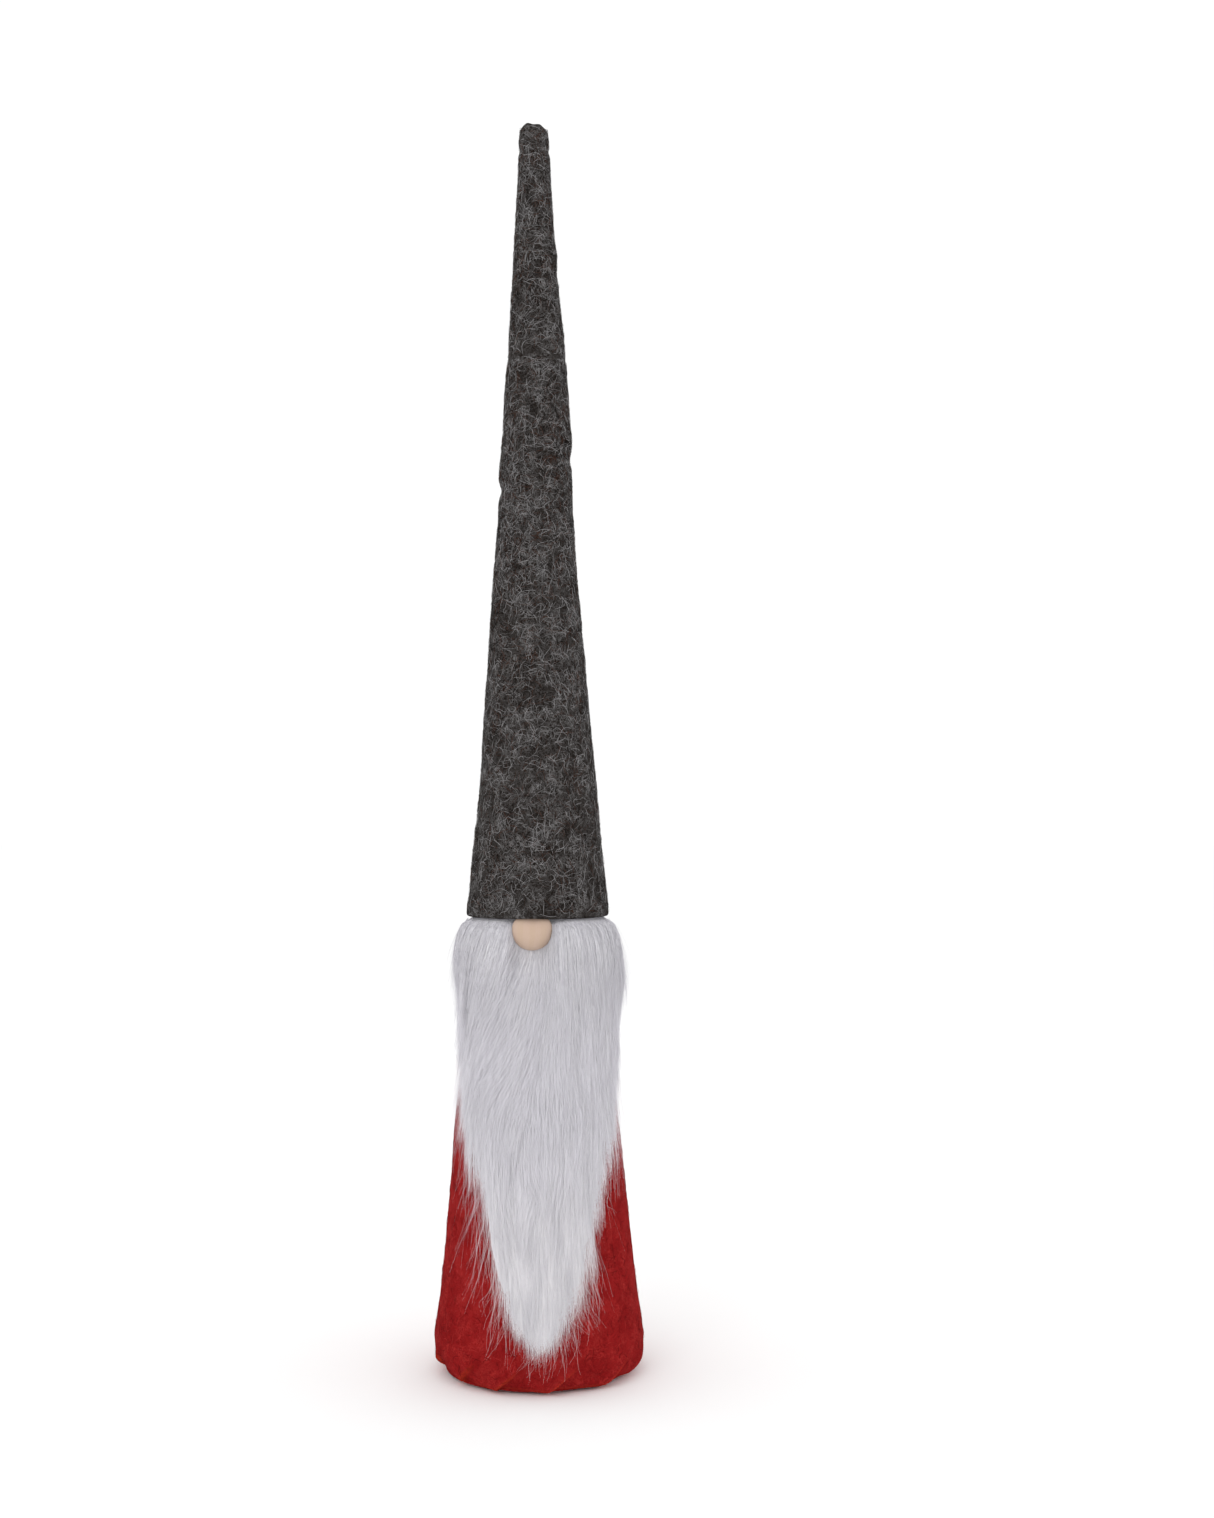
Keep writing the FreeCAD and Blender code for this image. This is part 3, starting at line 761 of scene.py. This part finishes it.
def backing_piece():
    """The shield of knitted backing that the pile grows from, wrapped round the front of the body."""
    columns = np.linspace(-92, 92, 90)
    rows = np.linspace(0, 1, 60)
    a = np.radians(columns)[None, :] * np.ones((60, 1))
    low = backing_edge(np.abs(columns))[None, :]
    z = low + (231.5 - low) * rows[:, None]
    ripple = 0.12 * noise(around(a, 40.0, z), 9.0, 81)
    inside = body_surface(a, z, -0.35 - np.abs(ripple))
    outside = body_surface(a, z, -1.35 - np.abs(ripple))
    n, m = a.shape
    ids = np.arange(n * m).reshape(n, m)
    quads = grid_quads(ids)
    rim = np.concatenate([ids[0], ids[1:, -1], ids[-1, -2::-1], ids[-2:0:-1, 0]])
    wall = np.stack([rim, np.roll(rim, -1), np.roll(rim, -1) + n * m, rim + n * m], axis=-1)
    points = np.concatenate([inside.reshape(-1, 3), outside.reshape(-1, 3)])
    cloth = cloth_material("knitted_backing", srgb(206, 205, 208), srgb(164, 163, 168), 1100.0)
    return outward(mesh_object("beard_backing", points, [quads, quads + n * m, wall], cloth, sharp=60))


def undercoat_piece(material):
    """The dense inner pile: a soft streaked body that the strands lie over."""
    columns = np.linspace(-95, 95, 191)
    rows = np.linspace(0, 1, 150)
    a = np.radians(columns)[None, :] * np.ones((150, 1))
    edge = root_edge(columns)
    low = (edge - 32 + 6 * np.abs(noise(around(np.radians(columns) * 3, 40.0, 0.0), 6.0, 93)))[None, :]
    z = low + (216.8 - low) * rows[:, None]
    drift = 0.05 * noise(around(a * 0.7, 40.0, z), 40.0, 90)
    streak = noise(np.stack([(a + drift) * 42, 0 * a, z * 0.09], axis=-1), 2.4, 91)
    streak += 0.6 * noise(np.stack([(a + drift) * 42, 0 * a, z * 0.12], axis=-1), 1.1, 92)
    fall = smooth_step(0.0, 0.30, rows)[:, None]
    sides = smooth_step(0.0, 9.0, 95 - np.abs(columns))[None, :]
    top = 0.45 + 0.55 * smooth_step(217, 209, z)
    lift = 0.9 + (pile_height(a, z) * 0.76 * top + 0.3 * streak - 0.9) * fall * sides
    outside = body_surface(a, z, -np.maximum(lift, 0.5))
    return mesh_object("beard_undercoat", outside, [grid_quads(np.arange(a.size).reshape(a.shape))], material)


def lie_of_pile(a, z):
    """How far the pile drifts to the right for each millimetre that it falls."""
    left = -0.42 * bump(a + 0.42, 0.45) * smooth_step(112, 150, z) * smooth_step(216, 200, z)
    left = left - 0.12 * bump(a + 1.2, 0.4) * smooth_step(120, 160, z)
    right = 0.06 * bump(a - 0.6, 0.5) * smooth_step(150, 200, z)
    to_point = -0.13 * np.tanh(a / 0.25) * smooth_step(130, 80, z)
    place = np.stack([40 * a, z, 0 * z], axis=-1)
    return left + right + to_point + 0.10 * noise(place, 24.0, 94) + 0.06 * noise(place, 9.0, 95)


FALL = np.array([0.0, 0.035, 0.07, 0.115, 0.17, 0.25, 0.37, 0.54, 0.76, 1.0])


def combed(a0, z0, length, lean):
    """The angle and height along strands that follow the pile's lie from their roots."""
    a, z = [a0], [z0]
    for drop in np.diff(FALL):
        slope = lie_of_pile(a[-1], z[-1]) + lean
        step = length * drop / np.sqrt(1 + slope**2)
        a.append(a[-1] + slope * step / FRONT_RADIUS)
        z.append(z[-1] - step)
    return np.stack(a, axis=1), np.stack(z, axis=1)


def curls(rng, count, least, most):
    """A wave along each of count strands, with from least to most turns."""
    return np.sin(TAU * (FALL * rng.uniform(least, most, count)[:, None] + rng.uniform(0, 1, count)[:, None]))


def curled(a, rng, turns, swing):
    """The angles along strands once they curl, more towards their tips."""
    return a + curls(rng, len(a), *turns) * FALL**1.5 * rng.uniform(*swing, len(a))[:, None] / FRONT_RADIUS


def risen(share, along=FALL):
    """How much of their full height strands have reached, if they get there at that share of their length."""
    return np.sin(np.clip(along / share, 0, 1) * math.pi / 2)


def lowest_root(degrees):
    """The lowest that the pile is rooted, which is never below the backing's edge."""
    return np.maximum(root_edge(degrees), backing_edge(np.abs(degrees)) + 1)


def root_places(count, rng):
    """Roots on the backing, closest together at its top, round the nose and at the beard's point."""
    a = np.radians(rng.uniform(-94, 94, count * 4))
    z = rng.uniform(58, 212.5, count * 4)
    close = 0.4 + 0.6 * smooth_step(182, 212, z) + 0.5 * smooth_step(105, 75, z)
    close = close + 0.6 * bump(a + 0.08, 0.4) * bump(z - 198, 14.0)
    keep = (z > lowest_root(np.degrees(a))) & (rng.uniform(0, 1, len(a)) < close)
    return a[keep][:count], z[keep][:count]


def crown_places(count, rng):
    """Roots hidden under the hat's rim."""
    return np.radians(rng.uniform(-94, 94, count)), rng.uniform(216.6, 221.5, count)


def pile_length(a0, z0, rng):
    """How long the strands are. Those at the backing's lower edge reach on to the pile's own edge."""
    degrees = np.degrees(a0)
    short = np.clip(backing_edge(np.abs(degrees)) + 1 - root_edge(degrees), 0, 20)
    near = smooth_step(16, 2, z0 - lowest_root(degrees))
    at_sides = 1 - 0.30 * smooth_step(54, 72, np.abs(degrees) + 8 * (a0 < 0))
    return rng.uniform(46, 58, len(a0)) * at_sides - 7 * smooth_step(95, 66, z0) + short * near


def guide_locks(rng):
    """One guide strand per lock: its root, the path it falls along, and how tightly its lock gathers."""
    a0, z0 = root_places(1300, rng)
    lean = rng.normal(0, 0.09, len(a0)) * smooth_step(70, 120, z0)
    gather = rng.uniform(0.1, 0.75, len(a0)) * (0.5 + 0.5 * smooth_step(185, 150, z0))
    gather = gather * (0.3 + 0.7 * smooth_step(70, 110, z0))
    lift = rng.exponential(0.45, len(a0))
    a, z = combed(a0, z0, pile_length(a0, z0, rng), lean)
    reach = 1 - (1 - rng.uniform(0.70, 1.08, len(a0))) * smooth_step(92, 120, z0)
    return {"a0": a0, "z0": z0, "a": a, "gather": gather, "lift": lift, "lean": lean, "reach": reach}


def pile_strands(a0, z0, locks, rng):
    """Strands that fall along the pile's lie and gather a little towards the nearest guide at their tips."""
    nearest = np.empty(len(a0), int)
    for start in range(0, len(a0), 4000):
        part = slice(start, start + 4000)
        away = (40 * (a0[part, None] - locks["a0"])) ** 2 + (0.6 * (z0[part, None] - locks["z0"])) ** 2
        nearest[part] = away.argmin(axis=1)
    lean = rng.normal(0, 0.03, len(a0)) + 0.5 * locks["lean"][nearest] * smooth_step(208, 180, z0)
    a, z = combed(a0, z0, pile_length(a0, z0, rng) * locks["reach"][nearest], lean)
    gather = (locks["gather"][nearest] * rng.uniform(0.5, 1.1, len(a0)))[:, None] * FALL**1.4
    a = a + (locks["a"][nearest] - a) * gather
    z = z - rng.normal(0, 2.2, len(a0))[:, None] * FALL
    a = a + curls(rng, len(a0), 0.5, 1.6) * FALL * rng.uniform(0.1, 0.8, len(a0))[:, None] / FRONT_RADIUS
    a = a + rng.normal(0, 1.1, len(a0))[:, None] * FALL**1.2 / FRONT_RADIUS
    top = smooth_step(192, 208, z0)[:, None]
    share = 0.42 + 0.58 * (1 - (1 - FALL) ** 2)
    share = (share + (1 - share) * top) * rng.uniform(0.70, 1.03, len(a0))[:, None]
    in_crown = z0[:, None] > CROWN
    rise = np.where(in_crown, smooth_step(218.1, 213.8, z), risen(0.16 - 0.10 * top))
    stand = BACKING_TOP + (pile_height(a, z) * share - BACKING_TOP) * rise
    stand = stand + (locks["lift"][nearest] * 0.8 + rng.exponential(0.2, len(a0)))[:, None] * FALL**2
    return a, np.where(in_crown, z, np.minimum(z, 216.9)), stand


def lay_strands(name, a, z, stand, width, material, rng, roll=0.35):
    """Flat strands that thin towards their tips, at their angles, heights and distances off the felt."""
    thinning = width * (1 - 0.75 * np.linspace(0, 1, a.shape[1]) ** 2)
    taper = thinning[None] * rng.uniform(0.7, 1.25, len(a))[:, None]
    paths = body_surface(a, z, -np.maximum(stand, LEAST_STAND))
    return fibre_mesh(name, paths, a, 0.15, taper, rng.normal(0, roll, len(a)), material)


def pile_pieces(tones):
    """The pile, in two objects per tone."""
    locks = guide_locks(np.random.default_rng(500))
    made = []
    for k, (share, material) in enumerate(tones):
        rng = np.random.default_rng(510 + k)
        for half in "ab":
            count = PILE_COUNT * share / 2
            places = (root_places(int(count * 0.85), rng), crown_places(int(count * 0.17), rng))
            a, z, stand = pile_strands(*(np.concatenate(v) for v in zip(*places)), locks, rng)
            made.append(lay_strands(f"beard_pile_{k}{half}", a, z, stand, PILE_WIDTH, material, rng))
    return made


# Loose tufts: root angle, root height, length, strands, lean per millimetre of fall, and lift of the tips.
TUFTS = [(-60, 186, 66, 90, -0.06, 1.5), (-52, 178, 66, 100, -0.14, 2.5), (-45, 170, 66, 100, -0.20, 3.0),
         (-72, 188, 60, 80, -0.04, 2.0), (-39, 156, 62, 60, -0.22, 2.5), (-33, 128, 54, 45, -0.26, 2.5),
         (-27, 112, 56, 34, -0.36, 2.0), (-84, 194, 60, 60, 0.02, 2.0), (46, 150, 60, 80, 0.14, 1.5),
         (53, 156, 64, 130, 0.12, 1.5), (63, 168, 62, 110, 0.05, 1.5), (76, 184, 64, 90, 0.0, 2.0),
         (24, 98, 54, 60, 0.05, 1.5), (15, 84, 54, 60, 0.12, 1.5)]


def tuft_piece(material):
    """Loose tufts where the pile thins out at its edges."""
    rng = np.random.default_rng(640)
    hairs = []
    for degrees, z, long, count, slope, away in TUFTS:
        hairs.append([np.radians(degrees + rng.normal(0, 3.0, count)), z + rng.normal(0, 4.5, count),
                      long * rng.uniform(0.6, 1.1, count), slope + rng.normal(0, 0.13, count),
                      away * rng.uniform(0.0, 1.3, count)])
    a0, z0, length, lean, lift = np.concatenate(hairs, axis=1)
    a, z = combed(a0, np.maximum(z0, root_edge(np.degrees(a0)) + 0.5), length, lean)
    a = curled(a, rng, (0.4, 1.5), (0.8, 5.5))
    stand = 1.2 + (pile_height(a, z) * rng.uniform(0.5, 1.0, len(a0))[:, None] - 1.2) * risen(0.2)
    stand = stand + lift[:, None] * FALL**2
    keep = z.min(1) > OFF_FLOOR
    return lay_strands("beard_tufts", a[keep], z[keep], stand[keep], 0.09, material, rng)


def stray_piece(material):
    """Single curling hairs over the felt round the point of the beard and at its sides."""
    rng = np.random.default_rng(650)
    count = 600
    a0 = np.radians(np.where(rng.uniform(0, 1, count) < 0.4, rng.normal(-6, 22, count),
                             rng.normal(13, 9, count)))
    z0 = root_edge(np.degrees(a0)) + rng.uniform(0, 14, count)
    length = rng.uniform(38, 64, count)
    sway = 0.25 * a0 * rng.uniform(0, 1, count) + rng.normal(0, 0.13, count)
    t = np.linspace(0, 1, 16)[None, :]
    turns, start, size = (rng.uniform(*limits, count)[:, None] for limits in ((0.6, 2.0), (0, 1), (0.8, 4.4)))
    z = z0[:, None] - length[:, None] * t + 0.8 * size * np.cos(TAU * (t * turns + start)) * t
    a = a0[:, None] + sway[:, None] * t**1.3 + size * np.sin(TAU * (t * turns + start)) * t**1.5 / 45
    stand = BACKING_TOP + pile_height(a, z) * 0.8 * risen(0.2, t) * (1 - 0.6 * t)
    stand = stand + rng.uniform(0, 2.0, count)[:, None] * t**2
    keep = z.min(1) > OFF_FLOOR
    return lay_strands("beard_strays", a[keep], z[keep], stand[keep], 0.09, material, rng, 0.8)


def flyaway_piece(material):
    """Fine hairs that stand a little off the whole beard."""
    rng = np.random.default_rng(660)
    a0, z0 = root_places(900, rng)
    a, z = combed(a0, z0, rng.uniform(34, 56, len(a0)), rng.normal(0, 0.22, len(a0)))
    a = curled(a, rng, (0.5, 1.4), (0.5, 2.5))
    stand = BACKING_TOP + (pile_height(a, z) - BACKING_TOP) * risen(0.15)
    stand = stand + rng.uniform(0.3, 3.0, len(a0))[:, None] * FALL**1.6
    return lay_strands("beard_flyaways", a, np.minimum(z, CROWN), stand, 0.10, material, rng, 0.8)


def side_piece(material):
    """Loose wisps that stand off the beard's two sides and turn down and outward."""
    rng = np.random.default_rng(670)
    wisps, hairs = 170, 14
    side = np.where(rng.uniform(0, 1, wisps) < 0.5, -1, 1)
    drawn = (np.radians(side * rng.uniform(52, 96, wisps)), rng.uniform(150, 216, wisps),
             rng.normal(0, 0.25, wisps), rng.exponential(2.2, wisps), rng.uniform(16, 40, wisps))
    a0, z0, lean, away, length = (np.repeat(v, hairs) for v in drawn)
    count = len(a0)
    a0 = a0 + rng.normal(0, 0.03, count)
    z0 = np.maximum(z0 + rng.normal(0, 2.0, count), root_edge(np.degrees(a0)) + 0.5)
    a, z = combed(a0, z0, length * rng.uniform(0.7, 1.1, count), lean + rng.normal(0, 0.09, count))
    a = curled(a, rng, (0.4, 1.3), (0.3, 2.0))
    away = np.minimum(away * rng.uniform(0.5, 1.1, count), 5.0)
    stand = BACKING_TOP + (pile_height(a, z) - BACKING_TOP) * risen(0.25) + away[:, None] * FALL**1.3
    return lay_strands("beard_side_hairs", a, np.minimum(z, 216.0), stand, 0.12, material, rng, 0.8)


def feather_piece(material):
    """Overlapping locks that lie on the pile and end in soft points, for the beard's feathered look."""
    rng = np.random.default_rng(680)
    locks, hairs, half_width = 110, 44, 1.9
    middle_a = np.radians(rng.uniform(-52, 50, locks))
    middle_z = rng.uniform(92, 200, locks)
    inside = middle_z > root_edge(np.degrees(middle_a)) + 12
    middle_a, middle_z = middle_a[inside], middle_z[inside]
    locks = len(middle_a)
    count = locks * hairs
    lock = np.repeat(np.arange(locks), hairs)
    across = rng.normal(0, 1.0, count)
    a0 = middle_a[lock] + across * half_width / FRONT_RADIUS
    z0 = middle_z[lock] + rng.normal(0, 4.0, count)
    length = rng.uniform(28, 46, locks)[lock] * rng.uniform(0.75, 1.08, count)
    a, z = combed(a0, z0, length, rng.normal(-0.03, 0.11, locks)[lock] + rng.normal(0, 0.025, count))
    closing = rng.uniform(0.2, 0.9, locks)[lock][:, None]
    a = a - across[:, None] * closing * half_width / FRONT_RADIUS * FALL**1.2
    a = a + rng.normal(0, 0.7, count)[:, None] * FALL**1.5 / FRONT_RADIUS
    top = rng.uniform(0.2, 1.3, locks)[lock] * rng.uniform(0.5, 1.1, count)
    stand = pile_height(a, z) * (0.72 + 0.28 * risen(0.35)) + top[:, None] * np.sin(math.pi * FALL**0.7) + 0.2
    return lay_strands("beard_feathers", a, z, stand, 0.15, material, rng)


def rim_piece(material):
    """Short soft hairs under the hat's rim and round the nose."""
    rng = np.random.default_rng(690)
    count = 7600
    a0 = np.radians(rng.uniform(-94, 94, count))
    z0 = rng.uniform(197, 221.5, count)
    a, z = combed(a0, z0, rng.uniform(7, 17, count), rng.normal(0, 0.30, count))
    in_crown = z0[:, None] > CROWN
    z = np.where(in_crown, z, np.minimum(z, CROWN))
    rise = np.where(in_crown, smooth_step(218.1, 213.8, z), 0.80 + 0.20 * FALL)
    stand = BACKING_TOP + (pile_height(a, z) * rng.uniform(0.90, 1.05, count)[:, None] - BACKING_TOP) * rise
    stand = stand + rng.exponential(0.25, count)[:, None] * FALL
    return lay_strands("beard_rim_hairs", a, z, stand, 0.15, material, rng, 0.6)


def edge_piece(material):
    """Hairs at the backing's two side edges, which close the pile's depth where it is seen from behind."""
    rng = np.random.default_rng(700)
    count = 3600
    a0 = np.radians(rng.choice([-1, 1], count) * rng.uniform(90, 98, count))
    a, z = combed(a0, rng.uniform(182, 216, count), rng.uniform(10, 28, count), rng.normal(0, 0.12, count))
    share = rng.uniform(0.05, 1.0, count)[:, None] * (0.75 + 0.25 * FALL)
    stand = 0.9 + (pile_height(a, z) - 0.9) * share
    return lay_strands("beard_edge_hairs", a, np.minimum(z, 216.0), stand, PILE_WIDTH, material, rng, 1.5)


# ---- the nose
def nose_piece():
    """The turned wooden half-ball: flat behind, softly rounded at its rim, and faintly faceted by sanding."""
    a = np.arange(96) * TAU / 96
    wide, deep, front = 9.5, 7.5, 42.0
    ball = (wide**2 + deep**2) / (2 * deep)
    rings = [(wide * share, front - deep) for share in (0.35, 0.8, 0.955)] + [(9.38, 34.56), (9.46, 34.75)]
    for t in np.linspace(math.asin(wide / ball), 0.04, 40):
        rings.append((ball * math.sin(t), front - ball + ball * math.cos(t)))
    made = []
    for r, out in rings:
        p = np.stack([NOSE[0] + r * np.sin(a), np.full(len(a), -out), NOSE[1] + r * np.cos(a)], axis=-1)
        p[:, 2] = NOSE[1] + 0.965 * (p[:, 2] - NOSE[1])
        worn = 0.05 * noise(p, 5.0, 101)
        flat = 0.10 * bump(turn_from(a, -0.7), 0.35) * (r / wide) ** 4
        p[:, 0] -= (worn + flat) * np.sin(a) * (r / wide)
        p[:, 2] -= (worn + flat) * np.cos(a) * (r / wide)
        made.append(p)
    return capped_loft("nose", np.array(made), wood_material(), sharp=50)


# ---- build the figure
PILE_COUNT = 90000
FUZZ_SHARE = 1.0

hat_lower, hat_upper = hat_pieces()
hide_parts("hat_felt_lower", "hat_felt_crease", "hat_felt_middle")
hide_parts("hat_felt_tip_crease", "hat_felt_tip")

for o, upper in zip(hat_filling(), (False, True)):
    bend_hat(o, upper)
    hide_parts(*(["hat_stuffing_tip"] if upper else ["hat_stuffing_lower", "hat_stuffing_middle"]))

grey_thread = thread_material("grey_thread", srgb(46, 45, 46))
hat_stitches = stitch_rows("hat_seam_stitches", hat_surface, 220, HAT_SPLIT, 224.0, grey_thread)
top_stitches = stitch_rows("hat_seam_stitches_top", hat_surface, HAT_SPLIT, 592, 224.0, grey_thread)
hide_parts("hat_seam_thread_lower", "hat_seam_thread_middle")
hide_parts("hat_seam_thread_tip")
for pair, slot in (((hat_lower, hat_upper), "grey_felt"), ((hat_stitches, top_stitches), "grey_thread")):
    for o, upper in zip(pair, (False, True)):
        bend_hat(o, upper)

grey_fuzz = [("pale", srgb(152, 150, 151), 9000, 0.165, 1.0), ("mid", srgb(90, 87, 86), 9000, 0.175, 1.0),
             ("dark", srgb(27, 21, 18), 7000, 0.20, -1.0), ("brown", srgb(74, 51, 42), 4000, 0.19, -1.0)]
for k, (tone, colour, count, width, clump) in enumerate(grey_fuzz):
    count = int(count * FUZZ_SHARE)
    material = fuzz_material(f"grey_fuzz_{tone}", colour)
    for upper, low, high, part in ((False, 218.2, HAT_SPLIT, 1.0), (True, HAT_SPLIT, 598.0, 0.22)):
        name = f"hat_fuzz_{tone}" + ("_top" if upper else "")
        o = felt_fuzz(name, hat_surface, low, high, int(count * part), (3.5, 8.5), (0.03, 0.45), width,
                      material, 200 + 2 * k + upper, clump=clump)
        bend_hat(o, upper)


def settle(o, slot, *nodes):
    """Puts a piece on the figure's root body, in place of its CAD nodes if it has any."""
    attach(o, "figure")
    if nodes:
        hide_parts(*nodes)
    return o


body = settle(body_piece(), "red_felt", "body_felt")
flaps = settle(flap_pieces(), "red_felt", "hem_flaps")
cover = settle(cover_piece(), "cover_felt", "base_cover")
settle(pouch_piece(), "calico", "weight_pouch")
settle(body_filling(), "polyester_fibre", "body_stuffing")
red_thread = thread_material("red_thread", srgb(134, 22, 26))
settle(stitch_rows("body_seam_stitches", body_surface, 20, 216, 21.0, red_thread), "red_thread",
       "body_seam_thread")

red_fuzz = [("pale", srgb(178, 50, 48), 1900), ("mid", srgb(152, 30, 31), 2600),
            ("dark", srgb(92, 9, 13), 1900)]
for k, (tone, colour, count) in enumerate(red_fuzz):
    material = fuzz_material(f"red_fuzz_{tone}", colour)
    settle(felt_fuzz(f"body_fuzz_{tone}", body_surface, 2.5, 217.0, int(count * FUZZ_SHARE), (3.0, 6.5),
                     (0.03, 0.35), 0.19, material, 300 + k, under_beard), "red_felt")

backing = settle(backing_piece(), "knitted_backing", "beard_backing")

# Each tone of the pile: its share of the strands, its colour high up and its colour at the tips.
pile_tones = [("shade", 0.13, (216, 214, 220), (235, 232, 236)),
              ("grey", 0.17, (226, 224, 230), (242, 240, 243)),
              ("grey_light", 0.17, (232, 230, 236), (247, 245, 248)),
              ("pale", 0.18, (237, 235, 241), (250, 248, 251)),
              ("pale_light", 0.18, (242, 240, 245), (252, 250, 253)),
              ("white", 0.17, (246, 245, 248), (253, 252, 253))]
tones = [(share, hair_material(f"pile_{name}", srgb(*tone), srgb(*tip)))
         for name, share, tone, tip in pile_tones]
under = hair_material("pile_under", srgb(214, 212, 218), srgb(234, 231, 235))
settle(undercoat_piece(under), "grey_pile", "beard_pile")
loose = [(tuft_piece, 4), (stray_piece, 5), (flyaway_piece, 3), (side_piece, 2), (feather_piece, 2),
         (rim_piece, 2), (edge_piece, 3)]
loose = [make(tones[k][1]) for make, k in loose]
for o in (*pile_pieces(tones), *loose):
    settle(o, "grey_pile")

settle(nose_piece(), "pale_wood", "nose")

inner = [("base_board", board_material), ("sand_fill", sand_material), ("nose_glue", glue_material),
         ("hat_glue_bead", glue_material), ("hat_wire_lower", wire_material),
         ("hat_wire_middle", wire_material), ("hat_wire_tip", wire_material)]
for node, make in inner:
    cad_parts[node].data.materials.clear()
    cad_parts[node].data.materials.append(make())


# ---- floor, light and camera
def floor():
    """A wide pale floor."""
    n = Nodes("floor", False)
    tone = n.grain(3.0, 2.0, seed=1.0)
    material = n.finish(n.mix(tone, (0.984, 0.984, 0.984), (0.992, 0.992, 0.992)), None, 0.9,
                        Specular_IOR_Level=0.0)
    size = 12000.0
    o = mesh_object("floor", [(-size, -size, 0), (size, -size, 0), (size, size, 0), (-size, size, 0)],
                    [np.array([[0, 1, 2, 3]])], material)


def softbox(name, place, size, power):
    """A large square area lamp aimed at the figure."""
    lamp = bpy.data.lights.new(name, "AREA")
    lamp.size = size
    lamp.energy = power
    o = bpy.data.objects.new(name, lamp)
    o.location = place
    o.rotation_euler = (Vector((0, 0, 0.28)) - Vector(place)).to_track_quat("-Z", "Y").to_euler()
    bpy.context.scene.collection.objects.link(o)


floor()
softbox("key", (-0.7, -1.5, 1.2), 1.0, 4.0)
softbox("rear", (0.2, 1.4, 1.3), 1.2, 2.0)
world = bpy.data.worlds.new("studio")
world.use_nodes = True
world.node_tree.nodes["Background"].inputs["Color"].default_value = (1.0, 1.0, 1.0, 1.0)
world.node_tree.nodes["Background"].inputs["Strength"].default_value = 1.02
bpy.context.scene.world = world
bpy.context.scene.view_settings.view_transform = "Standard"

CAMERA_AWAY = 0.911
CAMERA_HEIGHT = 0.270
CAMERA_YAW = math.radians(-2.1104)  # the figure stands a little left of the picture's middle
lens = bpy.data.cameras.new("camera")
lens.sensor_width = 36.0
lens.lens = 44.7273
lens.shift_y = 0.03162
camera = bpy.data.objects.new("camera", lens)
camera.location = (0, -CAMERA_AWAY, CAMERA_HEIGHT)
camera.rotation_euler = (math.pi / 2, 0, CAMERA_YAW)
bpy.context.scene.collection.objects.link(camera)
bpy.context.scene.camera = camera

bpy.context.view_layer.update()
